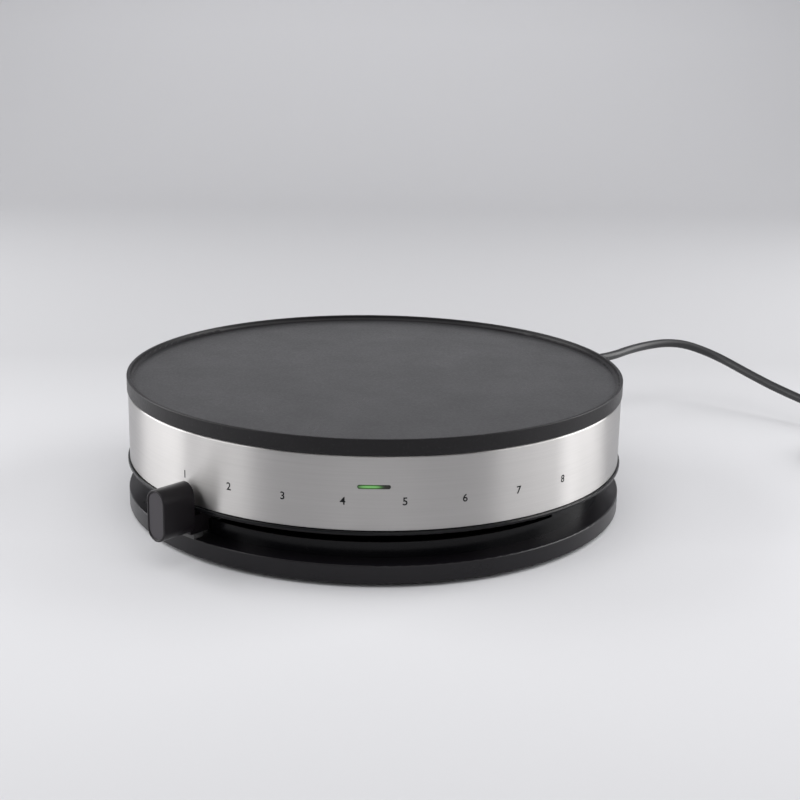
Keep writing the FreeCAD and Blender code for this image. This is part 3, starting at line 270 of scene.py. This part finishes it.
@dataclass(frozen=True)
class Finish:
    """The look of one kind of surface.

    Attributes:
        slot: The record's material slot; not used.
        name: The material's name.
        colour: Its mean colour.
        roughness: Its mean roughness.
    """

    slot: str
    name: str
    colour: Colour
    roughness: float

    def steady(self) -> dict[str, float]:
        """The shader's inputs that are the same all over the surface."""
        return {}

    def varied(self, graph: Graph) -> dict[str, Socket]:
        """The shader's inputs that change over the surface.

        Args:
            graph: Where their nodes go.

        Returns:
            A socket for each input.
        """
        raise NotImplementedError

    def material(self) -> bpy.types.Material:
        """The finish's material, made once."""
        known = bpy.data.materials.get(self.name)
        if known:
            return known
        made = bpy.data.materials.new(self.name)
        made.use_nodes = True
        graph = Graph(made.node_tree)
        inputs = {**self.steady(), **self.varied(graph)}
        shader = graph.node("ShaderNodeBsdfPrincipled", inputs=inputs)
        graph.node("ShaderNodeOutputMaterial", inputs={0: shader.outputs[0]})
        return made


@dataclass(frozen=True)
class Moulded(Finish):
    """Moulded plastic, rubber or ceramic with a fine grain and faint handling marks.

    Attributes:
        grain: The size of the moulded grain.
        depth: The grain's depth.
        rub: How far the roughness wanders.
        dust: The colour that dust and rubbing turn it to.
        sheen: The level of its reflections.
        patch: The size of the cloudy patches that dust and gloss follow.
        speck: The size of the specks of dust.
    """

    grain: float = 0.5 * MM
    depth: float = 0.02 * MM
    rub: float = 0.08
    dust: Colour = (0.06, 0.06, 0.06)
    sheen: float = 0.5
    patch: float = 22 * MM
    speck: float = 3 * MM

    def steady(self) -> dict[str, float]:
        """The level of its reflections."""
        return {"Specular IOR Level": self.sheen}

    def varied(self, graph: Graph) -> dict[str, Socket]:
        """Grain, wandering gloss and a trace of dust."""
        cloud = graph.noise(self.patch, 4.0)
        fine = graph.noise(self.grain, 2.0)
        specks = graph.band(graph.noise(self.speck, 3.0), 0.6, 0.85)
        share = (cloud * 0.12 + specks * 0.075).clamped()
        return {
            "Base Color": graph.blend(share, self.colour, self.dust),
            "Roughness": self.roughness + (cloud - 0.5) * self.rub * 2 + (fine - 0.5) * 0.05,
            "Normal": graph.bump(fine, self.depth),
        }


class Lay(Enum):
    """The way that the marks on a metal run."""

    ROUND = "round the drum's axis"
    UP = "along Z"
    CLOUDY = "no way"


@dataclass(frozen=True)
class Metal(Finish):
    """Bare or plated metal with drawn, turned or rolled marks.

    Attributes:
        lay: The way that its marks run.
        tarnish: The colour of its stains.
        stain: How much they show.
        blot: The size of a stain.
        mark: The width of one drawn or turned mark.
        drawn: The length of a mark drawn along Z.
        cloudy: The size of a rolled sheet's mottle.
        relief: The depth of the marks.
    """

    lay: Lay = Lay.CLOUDY
    tarnish: Colour = (0.2, 0.18, 0.16)
    stain: float = 0.2
    blot: float = 9 * MM
    mark: float = 0.25 * MM
    drawn: float = 14 * MM
    cloudy: float = 0.6 * MM
    relief: float = 0.008 * MM

    def steady(self) -> dict[str, float]:
        """All of it is metal."""
        return {"Metallic": 1.0}

    def marks(self, graph: Graph) -> Socket:
        """Fine marks that follow the lay.

        Args:
            graph: Where their nodes go.

        Returns:
            The marks, around one half.
        """
        if self.lay is Lay.CLOUDY:
            return graph.noise(self.cloudy, 4.0)
        turn, reach, height = graph.around()
        if self.lay is Lay.ROUND:
            where = graph.vector(turn * 12.0, reach / self.mark, height / self.mark)
        else:
            where = graph.vector(turn * 900.0, reach / self.mark, height / self.drawn)
        return graph.noise(1.0, 3.0, where)

    def varied(self, graph: Graph) -> dict[str, Socket]:
        """Marks, stains and wandering gloss."""
        marks = self.marks(graph)
        stains = graph.band(graph.noise(self.blot, 5.0), 0.5, 0.75) * self.stain
        return {
            "Base Color": graph.blend(stains, self.colour, self.tarnish),
            "Roughness": self.roughness + (marks - 0.5) * 0.18 + stains * 0.3,
            "Normal": graph.bump(marks, self.relief),
        }


@dataclass(frozen=True)
class BrushedBand(Finish):
    """Sheet steel brushed round the drum.

    Attributes:
        streak: The height of one brush mark.
        run: How far a mark runs round the drum.
        swathe: The height of a broad soft swathe of marks.
        spread: How much longer a swathe is than a mark.
        smear: The size of a handling smear.
        relief: The depth of the marks.
        shade: The colour of the darker marks.
    """

    streak: float = 0.16 * MM
    run: float = 50 * MM
    swathe: float = 1.1 * MM
    spread: float = 1.8
    smear: float = 26 * MM
    relief: float = 0.0015 * MM
    shade: Colour = (0.46, 0.450, 0.443)

    def steady(self) -> dict[str, float]:
        """All of it is metal, and its gloss is drawn out across the marks."""
        return {"Metallic": 1.0, "Anisotropic": 0.97, "Anisotropic Rotation": 0.25}

    def varied(self, graph: Graph) -> dict[str, Socket]:
        """Brush marks, broad soft clouds and a few handling smears."""
        x, y, height = graph.axes()
        mark = graph.vector(x / self.run, y / self.run, height / self.streak)
        far = self.run * self.spread
        swathe = graph.vector(x / far, y / far, height / self.swathe)
        fine = graph.noise(1.0, 3.0, mark)
        coarse = graph.noise(1.0, 2.0, swathe)
        smear = graph.band(graph.noise(self.smear, 3.0), 0.5, 0.78)
        streaks = (fine * 0.6 + coarse * 0.4).clamped()
        share = graph.band(streaks, 0.35, 0.7) * 0.5
        return {
            "Base Color": graph.blend(share, self.colour, self.shade),
            "Roughness": self.roughness + (streaks - 0.5) * 0.12 + smear * 0.03,
            "Normal": graph.bump(streaks, self.relief, 0.8),
        }


@dataclass(frozen=True)
class CastCoating(Finish):
    """Dark non-stick coating over a turned casting.

    Attributes:
        rubbed_and_sheen: The paler colour where cleaning has rubbed it, also spread over the whole
            cooking surface as painted sheen.
        pit: The size of the casting's mottle.
        groove: The pitch of the turning marks on the cooking surface.
        wipe: The width of a wiping mark.
        patch: The size of the cloudy patches.
        crown: The height from which a surface is the plate's top.
        rim: Where the rim begins, from the axis.
        relief: The depth of mottle and marks.
    """

    rubbed_and_sheen: Colour = (0.042, 0.042, 0.044)
    pit: float = 1.6 * MM
    groove: float = 0.8 * MM
    wipe: float = 1.4 * MM
    patch: float = 38 * MM
    crown: float = 88 * MM
    rim: float = 164 * MM
    relief: float = 0.06 * MM

    def steady(self) -> dict[str, float]:
        """A hard coat with a moderate gloss."""
        return {"Specular IOR Level": 0.24}

    def varied(self, graph: Graph) -> dict[str, Socket]:
        """Mottle on the rim, fine turning marks on top, rubbed patches, and a paler cooking surface
        that is painted sheen.
        """
        turn, reach, height = graph.around()
        mottle = graph.noise(self.pit, 4.0)
        cloud = graph.noise(self.patch, 5.0)
        wipes = graph.noise(1.0, 3.0, graph.vector(turn * 4.0, reach / self.wipe, 0.0))
        rings = graph.math("SINE", reach * (2 * math.pi / self.groove)) * 0.5 + 0.5
        top = graph.band(height, self.crown, self.crown + 0.5 * MM)
        inside = 1.0 - graph.band(reach, self.rim, self.rim + 2 * MM)
        flat = top * inside
        speck = graph.band(mottle, 0.55, 0.75)
        # Painted sheen: the fixed 0.62 share lays the paler colour over the whole flat cooking
        # surface to stand in for its grazing gloss; the cloud, speck and wipe shares are rubbing.
        share = (cloud * 0.25 + speck * 0.2 + flat * (wipes * 0.2 + 0.62)).clamped()
        height_mark = mottle * (1.0 - flat * 0.6) + rings * flat * 0.12 + wipes * flat * 0.2
        return {
            "Base Color": graph.blend(share, self.colour, self.rubbed_and_sheen),
            "Roughness": self.roughness + (mottle - 0.5) * 0.25 + (cloud - 0.5) * 0.2 - flat * 0.04,
            "Normal": graph.bump(height_mark, self.relief),
        }


@dataclass(frozen=True)
class LitLens(Finish):
    """Dark window with a green lamp behind its left half.

    Attributes:
        halo: The colour of the window's lit edges.
        core: The colour of its bright middle line.
        lit: Where the glow is centred, along X.
        reach: How far the glow spreads to each side.
        level: The height of the bright line.
        line: The line's half thickness.
        grain: The size of the window's mottle.
    """

    halo: Colour = (0.020, 0.075, 0.010)
    core: Colour = (0.27, 0.64, 0.23)
    lit: float = -2.4 * MM
    reach: float = 6.2 * MM
    level: float = 63.3 * MM
    line: float = 0.55 * MM
    grain: float = 1.2 * MM

    def steady(self) -> dict[str, float]:
        """The glow's strength, behind a dull window."""
        return {"Emission Strength": 0.75, "Specular IOR Level": 0.2}

    def varied(self, graph: Graph) -> dict[str, Socket]:
        """Bright along the middle, green at the edges and dark at the right end."""
        x, _, height = graph.axes()
        along = (x - self.lit) / self.reach
        across = (height - self.level) / self.line
        glow = graph.math("EXPONENT", 0.0 - along * along * along * along)
        stripe = graph.math("EXPONENT", 0.0 - across * across)
        lit_edge = graph.blend(glow, self.colour, self.halo)
        shown = graph.blend(glow * stripe, lit_edge, self.core)
        cloud = graph.noise(self.grain, 2.0)
        return {
            "Base Color": graph.blend(glow, self.colour, self.halo),
            "Emission Color": shown,
            "Roughness": self.roughness + (cloud - 0.5) * 0.2,
        }


class Stuff(Enum):
    """Every finish on the object."""

    COATING = CastCoating("griddle_coating", "non_stick_coating", (0.007, 0.006, 0.007), 0.38)
    GASKET = Moulded("gasket", "gasket_rubber", (0.03, 0.03, 0.03), 0.7)
    BAND = BrushedBand("brushed_steel", "brushed_band", (0.52, 0.508, 0.500), 0.36)
    HOUSING = Moulded(
        "black_housing",
        "housing_gloss",
        (0.003, 0.003, 0.004),
        0.20,
        grain=0.9 * MM,
        depth=0.008 * MM,
        rub=0.05,
        dust=(0.02, 0.02, 0.02),
        sheen=0.18,
    )
    BASE = Moulded(
        "base_black",
        "base_satin",
        (0.006, 0.005, 0.007),
        0.30,
        grain=0.45 * MM,
        depth=0.015 * MM,
        rub=0.06,
        dust=(0.03, 0.03, 0.03),
        sheen=0.3,
    )
    RUBBER = Moulded(
        "rubber", "foot_rubber", (0.025, 0.025, 0.025), 0.8, grain=0.4 * MM, depth=0.04 * MM
    )
    SCREW = Metal("screw_steel", "plated_screw", (0.62, 0.62, 0.60), 0.28, lay=Lay.ROUND)
    PILLAR = Metal("pillar_steel", "drawn_steel", (0.52, 0.52, 0.52), 0.35, lay=Lay.UP)
    SHIELD = Metal("shield_sheet", "rolled_sheet", (0.62, 0.62, 0.64), 0.38)
    CERAMIC = Moulded(
        "ceramic_body",
        "steatite",
        (0.72, 0.70, 0.64),
        0.55,
        grain=0.8 * MM,
        depth=0.03 * MM,
        rub=0.1,
        dust=(0.5, 0.45, 0.38),
    )
    BRASS = Metal("brass_tabs", "brass", (0.72, 0.55, 0.26), 0.32, tarnish=(0.3, 0.2, 0.08))
    LENS = LitLens("lamp_lens", "lit_lens", (0.016, 0.016, 0.014), 0.25)
    BOARD = Moulded(
        "board_green",
        "board_lacquer",
        (0.03, 0.20, 0.08),
        0.35,
        grain=0.6 * MM,
        depth=0.01 * MM,
        rub=0.05,
    )
    INNER = Moulded("inner_plastic", "inner_plastic", (0.05, 0.05, 0.052), 0.5)
    KNOB = Moulded(
        "knob_black",
        "knob_satin",
        (0.009, 0.007, 0.009),
        0.36,
        grain=0.35 * MM,
        depth=0.012 * MM,
        rub=0.06,
        dust=(0.03, 0.03, 0.03),
        sheen=0.32,
    )
    CAP = Moulded(
        "knob_cap_grey",
        "knob_cap_satin",
        (0.045, 0.041, 0.047),
        0.42,
        grain=0.35 * MM,
        depth=0.012 * MM,
        rub=0.05,
        dust=(0.09, 0.08, 0.09),
        sheen=0.35,
    )
    ELEMENT = Metal("element_sheath", "element_sheath", (0.22, 0.21, 0.20), 0.5)
    BROWN_CORE = Moulded("wire_plastic", "core_brown", (0.16, 0.07, 0.035), 0.45)
    BLUE_CORE = Moulded("wire_plastic", "core_blue", (0.05, 0.13, 0.36), 0.45)
    EARTH_CORE = Moulded(
        "wire_plastic", "core_earth", (0.30, 0.48, 0.08), 0.45, dust=(0.62, 0.60, 0.12)
    )
    CORE_SLEEVE = Moulded("wire_plastic", "core_sleeve", (0.62, 0.58, 0.50), 0.6)
    CORD = Moulded(
        "cord_rubber", "cord_jacket", (0.022, 0.022, 0.024), 0.40, grain=0.5 * MM, depth=0.015 * MM
    )
    PLUG = Moulded("plug_rubber", "plug_jacket", (0.024, 0.024, 0.026), 0.45, grain=0.4 * MM)
    NICKEL = Metal("plug_nickel", "nickel", (0.70, 0.67, 0.62), 0.2)
    INK = Moulded(
        "brushed_steel",
        "scale_ink",
        (0.004, 0.004, 0.005),
        0.5,
        grain=0.2 * MM,
        depth=0.004 * MM,
        rub=0.05,
        dust=(0.01, 0.01, 0.01),
        sheen=0.2,
    )


def dress(obj: bpy.types.Object, stuff: Stuff) -> None:
    """Gives a piece one finish.

    Args:
        obj: A node of the frame or a piece made here.
        stuff: Its finish.
    """
    obj.data.materials.clear()
    obj.data.materials.append(stuff.value.material())


@dataclass
class SubAssembly:
    """Pieces that belong together.

    Attributes:
        nodes: The frame's pieces by name.
    """

    nodes: dict[str, bpy.types.Object]

    def finishes(self) -> dict[str, Stuff]:
        """The finish of each piece that comes from the frame."""
        return {}

    def build(self) -> None:
        """Makes the pieces that the frame lacks."""

    def make(self) -> None:
        """Builds and dresses the sub-assembly, and reports each piece."""
        self.build()
        for name, stuff in self.finishes().items():
            dress(self.nodes[name], stuff)
            log.info("%s: %s", name, stuff.value.name)


@dataclass
class CookingPlate(SubAssembly):
    """The cooking plate, its gasket and its heating loop."""

    def finishes(self) -> dict[str, Stuff]:
        """Coated casting over bare metal."""
        return {
            "griddle_plate": Stuff.COATING,
            "insulating_ring": Stuff.GASKET,
            "heating_element": Stuff.ELEMENT,
            "element_terminals": Stuff.BRASS,
            "heat_shield": Stuff.SHIELD,
            "plate_pillars": Stuff.PILLAR,
            "plate_screws": Stuff.SCREW,
        }


@dataclass
class Drum(SubAssembly):
    """The steel band with its printed scale and lit window.

    Attributes:
        first_mark: The azimuth of the scale's first number, in degrees.
        mark_pitch: The angle between numbers, in degrees.
        marks: How many numbers there are.
        mark_height: The middle height of the numbers.
        mark_tall: How tall a number is.
        weight: How far its strokes are thickened, as a share of the font's size.
        cut: How deep a number is cut before it is wrapped, as a share of the font's size.
        bend_steps: The steps in each bend of a number.
        ink: How thick the print is.
        rise: How far the print's back stands off the steel.
    """

    first_mark: float = -43.75
    mark_pitch: float = 12.5
    marks: int = 8
    mark_height: float = 54.3 * MM
    mark_tall: float = 4.95 * MM
    weight: float = 0.013
    cut: float = 0.01
    bend_steps: int = 6
    ink: float = 0.04 * MM
    rise: float = 0.01 * MM

    def finishes(self) -> dict[str, Stuff]:
        """Brushed steel, and the lamp behind its window."""
        return {
            "steel_band": Stuff.BAND,
            "indicator_lens": Stuff.LENS,
            "indicator_board": Stuff.BOARD,
            "indicator_leds": Stuff.LENS,
            "lamp_holder": Stuff.INNER,
        }

    def numeral(self, text: str, azimuth: float, radius: float, into: bmesh.types.BMesh) -> None:
        """Adds one number of the scale, wrapped round the band.

        Args:
            text: The number.
            azimuth: Its middle, in degrees.
            radius: The band's outer radius.
            into: The mesh that takes it.
        """
        curve = bpy.data.curves.new("numeral", "FONT")
        curve.body = text
        curve.resolution_u = self.bend_steps
        curve.extrude = self.cut
        curve.offset = self.weight
        drawn = bpy.data.objects.new("numeral", curve)
        flat = bpy.data.meshes.new_from_object(drawn)
        spots = [vertex.co for vertex in flat.vertices]
        low = Vector((min(p.x for p in spots), min(p.y for p in spots)))
        high = Vector((max(p.x for p in spots), max(p.y for p in spots)))
        middle = (low + high) / 2
        size = self.mark_tall / (high.y - low.y)
        for vertex in flat.vertices:
            out = radius + self.rise + (self.ink if vertex.co.z > 0 else 0.0)
            turn = math.radians(azimuth) + (vertex.co.x - middle.x) * size / radius
            up = self.mark_height + (vertex.co.y - middle.y) * size
            vertex.co = (out * math.sin(turn), -out * math.cos(turn), up)
        into.from_mesh(flat)
        bpy.data.objects.remove(drawn)
        bpy.data.curves.remove(curve)
        bpy.data.meshes.remove(flat)

    def build(self) -> None:
        """Prints the scale on the steel."""
        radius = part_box("steel_band")[1].x
        drawing = bmesh.new()
        for number in range(self.marks):
            azimuth = self.first_mark + self.mark_pitch * number
            self.numeral(str(number + 1), azimuth, radius, drawing)
        mesh = bpy.data.meshes.new("scale_numbers")
        drawing.to_mesh(mesh)
        drawing.free()
        scale = bpy.data.objects.new("scale_numbers", mesh)
        bpy.context.scene.collection.objects.link(scale)
        dress(scale, Stuff.INK)
        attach(scale, "cooker")
        log.info("scale_numbers: %d numbers", self.marks)


@dataclass
class Base(SubAssembly):
    """The black mouldings below the steel, their screws and feet."""

    def finishes(self) -> dict[str, Stuff]:
        """Gloss on the groove's wall and satin on the ring."""
        return {
            "lower_housing": Stuff.HOUSING,
            "groove_wall": Stuff.HOUSING,
            "base_tray": Stuff.BASE,
            "rubber_feet": Stuff.RUBBER,
            "base_screws": Stuff.SCREW,
        }


@dataclass
class HeatLever(SubAssembly):
    """The lever from the thermostat's spindle to its grip."""

    def finishes(self) -> dict[str, Stuff]:
        """Satin grip with a paler face, on a plated arm."""
        return {
            "slider_knob": Stuff.KNOB,
            "knob_cap": Stuff.CAP,
            "glide_shoe": Stuff.INNER,
            "lever_arm": Stuff.PILLAR,
            "thermostat_spindle": Stuff.PILLAR,
            "hub_screw": Stuff.SCREW,
            "spindle_clip": Stuff.SCREW,
            "knob_screws": Stuff.SCREW,
            "pivot_bush": Stuff.BRASS,
        }


@dataclass
class Wiring(SubAssembly):
    """The thermostat, the fuse, the terminals and the cores between them."""

    def finishes(self) -> dict[str, Stuff]:
        """Ceramic, brass and coloured cores."""
        return {
            "thermostat_body": Stuff.CERAMIC,
            "thermostat_tabs": Stuff.BRASS,
            "thermostat_bracket": Stuff.SHIELD,
            "bracket_screws": Stuff.SCREW,
            "thermal_fuse": Stuff.SHIELD,
            "fuse_clip": Stuff.SHIELD,
            "terminal_block": Stuff.CERAMIC,
            "terminal_screws": Stuff.BRASS,
            "clamp_saddle": Stuff.INNER,
            "cord_clamp": Stuff.INNER,
            "clamp_screws": Stuff.SCREW,
            "inner_cord": Stuff.CORD,
            "supply_cores": Stuff.CORE_SLEEVE,
            "live_wire": Stuff.BROWN_CORE,
            "switched_wire": Stuff.BROWN_CORE,
            "element_wire": Stuff.BROWN_CORE,
            "neutral_wire": Stuff.BLUE_CORE,
            "earth_wire": Stuff.EARTH_CORE,
            "lamp_wires": Stuff.CORE_SLEEVE,
        }


@dataclass
class MainsLead(SubAssembly):
    """The lead from its strain relief to the plug.

    Attributes:
        diameter: The jacket's diameter.
        length: The free length; not used.
        azimuth: Where it leaves the drum, in degrees.
        inside: How far from the drum's axis it starts, within the strain relief.
        outside: How far from the axis its straight start ends.
        leaving: Where it leaves the strain relief; not used.
        height: How high it leaves.
        radius: The coil's outer radius, at the middle of the jacket.
        pitch: From one turn to the next.
        turns: The whole turns of the coil.
        per_turn: The points that draw one turn.
    """

    diameter: float = 7.2 * MM
    length: float = 1.27
    azimuth: float = 150.0
    inside: float = 184.3 * MM
    outside: float = 211.0 * MM
    leaving: float = 199.3 * MM
    height: float = 49.0 * MM
    radius: float = 43.6 * MM
    pitch: float = 7.85 * MM
    turns: int = 3
    per_turn: int = 16

    def finishes(self) -> dict[str, Stuff]:
        """Black jackets and nickel pins."""
        return {
            "cord_gland": Stuff.CORD,
            "plug_body": Stuff.PLUG,
            "plug_pins": Stuff.NICKEL,
            "plug_earth_clips": Stuff.NICKEL,
        }

    def outwards(self, reach: float) -> Vector:
        """The point straight out of the exit at a distance from the drum's axis."""
        turn = math.radians(self.azimuth)
        return Vector((reach * math.sin(turn), -reach * math.cos(turn), self.height))

    def free_run(self) -> list[Vector]:
        """Out of the drum, over the table and down to the coil."""
        by_hand = (
            (0.1470, 0.1999, 0.0488),
            (0.1935, 0.2164, 0.0474),
            (0.2270, 0.2554, 0.0489),
            (0.2648, 0.2733, 0.0504),
            (0.2968, 0.2681, 0.0409),
            (0.3230, 0.2378, 0.0305),
            (0.3432, 0.2171, 0.0229),
            (0.3760, 0.1800, 0.0146),
            (0.4010, 0.1630, 0.0092),
            (0.4220, 0.1430, 0.0052),
            (0.4340, 0.1180, 0.0039),
            (0.4340, 0.0980, 0.0039),
        )
        start = [self.outwards(self.inside), self.outwards(self.outside)]
        return start + [Vector(point) for point in by_hand]

    def coil(self, entry: Vector) -> list[Vector]:
        """The coil: inwards on the table, then outwards again on top of that.

        Args:
            entry: Where the free run ends.

        Returns:
            The spline's points.
        """
        slope = math.atan(self.pitch / (2 * math.pi) / self.radius)
        total = self.turns + slope / math.pi
        layer = (total - 0.5) / 2
        centre = entry + Vector(
            (
                -self.radius * math.cos(slope),
                -self.diameter - self.radius * math.sin(slope),
                0.0,
            )
        )
        inner = self.radius - self.pitch * layer
        swell = 1 / math.cos(math.pi / self.per_turn)
        count = round(total * self.per_turn)
        points = []
        for step in range(count + 1):
            wound = total * step / count
            over = min(max(wound - layer, 0.0), 0.5)
            climb = (over / 0.5) ** 2 * (3 - 2 * over / 0.5)
            if wound <= layer:
                reach = self.radius - self.pitch * wound
            elif wound <= layer + 0.5:
                reach = inner - self.pitch * over + 2 * self.pitch * over ** 2
            else:
                reach = inner + self.pitch * (wound - layer - 0.5)
            angle = slope - 2 * math.pi * wound
            reach *= swell
            flat = Vector((reach * math.cos(angle), reach * math.sin(angle), 0.0))
            points.append(centre + flat + Vector((0.0, 0.0, climb * self.pitch)))
        return points

    def tail(self) -> list[Vector]:
        """Off the coil's top and down to the rear of the plug."""
        by_hand = (
            (0.4340, 0.0620, 0.01175),
            (0.4310, 0.0430, 0.0144),
            (0.4270, 0.0245, 0.0188),
            (0.4270, 0.0055, 0.0188),
        )
        return [Vector(point) for point in by_hand]

    def build(self) -> None:
        route = self.free_run()
        route += self.coil(route[-1]) + self.tail()
        curve = bpy.data.curves.new("mains_lead", "CURVE")
        curve.dimensions = "3D"
        curve.bevel_depth = self.diameter / 2
        curve.bevel_resolution = 6
        curve.resolution_u = 10
        curve.use_fill_caps = True
        spline = curve.splines.new("NURBS")
        spline.points.add(len(route) - 1)
        for point, spot in zip(spline.points, route):
            point.co = (*spot, 1.0)
        spline.order_u = 3
        spline.use_endpoint_u = True
        lead = bpy.data.objects.new("mains_lead", curve)
        bpy.context.scene.collection.objects.link(lead)
        dress(lead, Stuff.CORD)
        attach(lead, "cooker")
        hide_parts("power_cord", "cord_coil", "cord_tail")
        log.info("mains_lead: %d points", len(route))


@dataclass
class SoftBox:
    """A flat lamp with an even face.

    Attributes:
        name: Its name.
        place: Its middle.
        aim: The point that it faces.
        size: Its width and height.
        power: Its power in watts.
    """

    name: str
    place: tuple[float, float, float]
    aim: tuple[float, float, float]
    size: tuple[float, float]
    power: float

    def build(self) -> None:
        """Hangs the lamp."""
        lamp = bpy.data.lights.new(self.name, "AREA")
        lamp.shape = "RECTANGLE"
        lamp.size, lamp.size_y = self.size
        lamp.energy = self.power
        hung = bpy.data.objects.new(self.name, lamp)
        hung.location = self.place
        way = Vector(self.aim) - Vector(self.place)
        hung.rotation_euler = way.to_track_quat("-Z", "Y").to_euler()
        bpy.context.scene.collection.objects.link(hung)
        log.info("%s: %.1f W", self.name, self.power)


@dataclass
class Studio:
    """A pale sweep, soft boxes and an even grey room.

    Attributes:
        near: How far the floor reaches towards the camera.
        far: How far off the wall stands.
        side: How far the sweep reaches to each side.
        bend: The radius between floor and wall.
        wall: How tall the wall is.
        steps: The faces in the bend.
        painted_shade_tones: The paper's grey at distances back along the sweep: painted shade in
            front and just behind the object, and painted light up the wall.
        tint: The paper's colour cast.
        room: The room's grey.
        matt: The paper's roughness.
        sheen: The level of the paper's reflections.
    """

    near: float = 3.0
    far: float = 2.6
    side: float = 4.0
    bend: float = 1.2
    wall: float = 3.2
    steps: int = 24
    # Painted shade and light: the grey dips in front, out of view where the steel reflects the
    # floor, and just behind the object, and rises up the wall where the lamps reach little.
    painted_shade_tones: tuple[tuple[float, float], ...] = (
        (-0.60, 0.58), (-0.10, 0.75), (0.40, 0.57), (1.20, 0.66), (2.40, 0.88),
    )
    tint: Colour = (0.985, 0.985, 1.010)
    room: Colour = (0.20, 0.20, 0.207)
    matt: float = 0.75
    sheen: float = 0.25

    def profile(self) -> list[tuple[float, float]]:
        """The sweep's line in Y and Z, from the camera's side to the wall's top."""
        line = [(-self.near, 0.0)]
        for step in range(self.steps + 1):
            turn = math.pi / 2 * step / self.steps
            line.append(
                (
                    self.far - self.bend + self.bend * math.sin(turn),
                    self.bend - self.bend * math.cos(turn),
                )
            )
        line.append((self.far, self.wall))
        return line

    def sweep(self) -> bpy.types.Object:
        """Builds the floor and wall as one smooth sheet."""
        drawing = bmesh.new()
        rows = [
            [drawing.verts.new((x, y, z)) for x in (-self.side, self.side)]
            for y, z in self.profile()
        ]
        for low, high in zip(rows, rows[1:]):
            drawing.faces.new((low[0], low[1], high[1], high[0])).smooth = True
        mesh = bpy.data.meshes.new("studio_sweep")
        drawing.to_mesh(mesh)
        drawing.free()
        sheet = bpy.data.objects.new("studio_sweep", mesh)
        bpy.context.scene.collection.objects.link(sheet)
        mesh.materials.append(self.paper())
        return sheet

    def paper(self) -> bpy.types.Material:
        """Matt pale paper whose grey changes softly from front to back: painted shade in front and
        behind the object, painted light up the wall.
        """
        made = bpy.data.materials.new("studio_paper")
        made.use_nodes = True
        graph = Graph(made.node_tree)
        _, back, height = graph.axes()
        first, last = self.painted_shade_tones[0][0], self.painted_shade_tones[-1][0]
        stops = [
            ((far - first) / (last - first), tuple(grey * part for part in self.tint))
            for far, grey in self.painted_shade_tones
        ]
        ramp = graph.node(
            "ShaderNodeValToRGB",
            {"stops": stops},
            {0: ((back + height - first) / (last - first)).clamped()},
        )
        shader = graph.node(
            "ShaderNodeBsdfPrincipled",
            inputs={
                "Base Color": ramp.outputs[0],
                "Roughness": self.matt,
                "Specular IOR Level": self.sheen,
            },
        )
        graph.node("ShaderNodeOutputMaterial", inputs={0: shader.outputs[0]})
        return made

    def world(self) -> None:
        """An even grey room all round."""
        room = bpy.data.worlds.new("room")
        bpy.context.scene.world = room
        room.use_nodes = True
        graph = Graph(room.node_tree)
        shader = graph.node(
            "ShaderNodeBackground", inputs={"Color": (*self.room, 1.0), "Strength": 1.0}
        )
        graph.node("ShaderNodeOutputWorld", inputs={0: shader.outputs[0]})

    def build(self) -> None:
        """Sets up the sweep, the room and the lamps."""
        self.sweep()
        self.world()
        boxes = (
            SoftBox("box_over", (0.0, -0.6, 2.0), (0.0, -0.2, 0.0), (2.6, 2.0), 17.5),
            SoftBox("box_left", (-1.5, 0.45, 0.75), (0.0, 0.0, 0.05), (1.1, 1.4), 20.0),
            SoftBox("box_right", (1.5, 0.40, 0.75), (0.0, 0.0, 0.05), (1.1, 1.4), 22.0),
            SoftBox("fill_left", (-1.5, -0.62, 0.75), (0.0, 0.0, 0.05), (0.9, 1.4), 8.0),
            SoftBox("fill_right", (1.5, -0.62, 0.75), (0.0, 0.0, 0.05), (0.9, 1.4), 6.0),
            SoftBox("fill_front", (0.0, -2.2, 1.3), (0.0, 0.0, 0.0), (1.6, 0.8), 3.0),
        )
        for box in boxes:
            box.build()


@dataclass
class Viewpoint:
    """The camera.

    Attributes:
        place: Where it stands.
        yaw: How far it turns to +X, in degrees.
        pitch: How far it looks down, in degrees.
        roll: How far it leans, in degrees.
        focal: Its focal length in pixels of the picture.
        picture: The picture's width in pixels.
        sensor: The sensor's width in millimetres.
        nearest: How near the camera still sees.
    """

    place: tuple[float, float, float] = (0.0, -0.9826, 0.3438)
    yaw: float = 1.008
    pitch: float = 15.604
    roll: float = 1.028
    focal: float = 1462.5
    picture: float = 800.0
    sensor: float = 36.0
    nearest: float = 0.05

    def build(self) -> None:
        """Sets up the camera that the picture is seen from."""
        yaw, pitch, roll = (math.radians(a) for a in (self.yaw, self.pitch, self.roll))
        ahead = Vector(
            (
                math.sin(yaw) * math.cos(pitch),
                math.cos(yaw) * math.cos(pitch),
                -math.sin(pitch),
            )
        )
        level = Vector((math.cos(yaw), -math.sin(yaw), 0.0))
        upright = level.cross(ahead)
        right = level * math.cos(roll) + upright * math.sin(roll)
        above = upright * math.cos(roll) - level * math.sin(roll)
        lens = bpy.data.cameras.new("camera")
        lens.sensor_width = self.sensor
        lens.lens = self.focal * self.sensor / self.picture
        lens.clip_start = self.nearest
        camera = bpy.data.objects.new("camera", lens)
        turn = Matrix((right, above, -ahead)).transposed().to_4x4()
        camera.matrix_world = Matrix.Translation(self.place) @ turn
        bpy.context.scene.collection.objects.link(camera)
        bpy.context.scene.camera = camera
        log.info("camera: %.1f mm", lens.lens)


def main() -> None:
    """Builds the scene piece by piece."""
    logging.basicConfig(level=logging.INFO, format="%(name)s %(message)s")
    nodes = frame["nodes"]
    Viewpoint().build()
    MainsLead(nodes).make()
    for part in (CookingPlate, Drum, Base, HeatLever, Wiring):
        part(nodes).make()
    Studio().build()
    bpy.context.scene.view_settings.view_transform = "Standard"


if __name__ == "__main__":
    main()
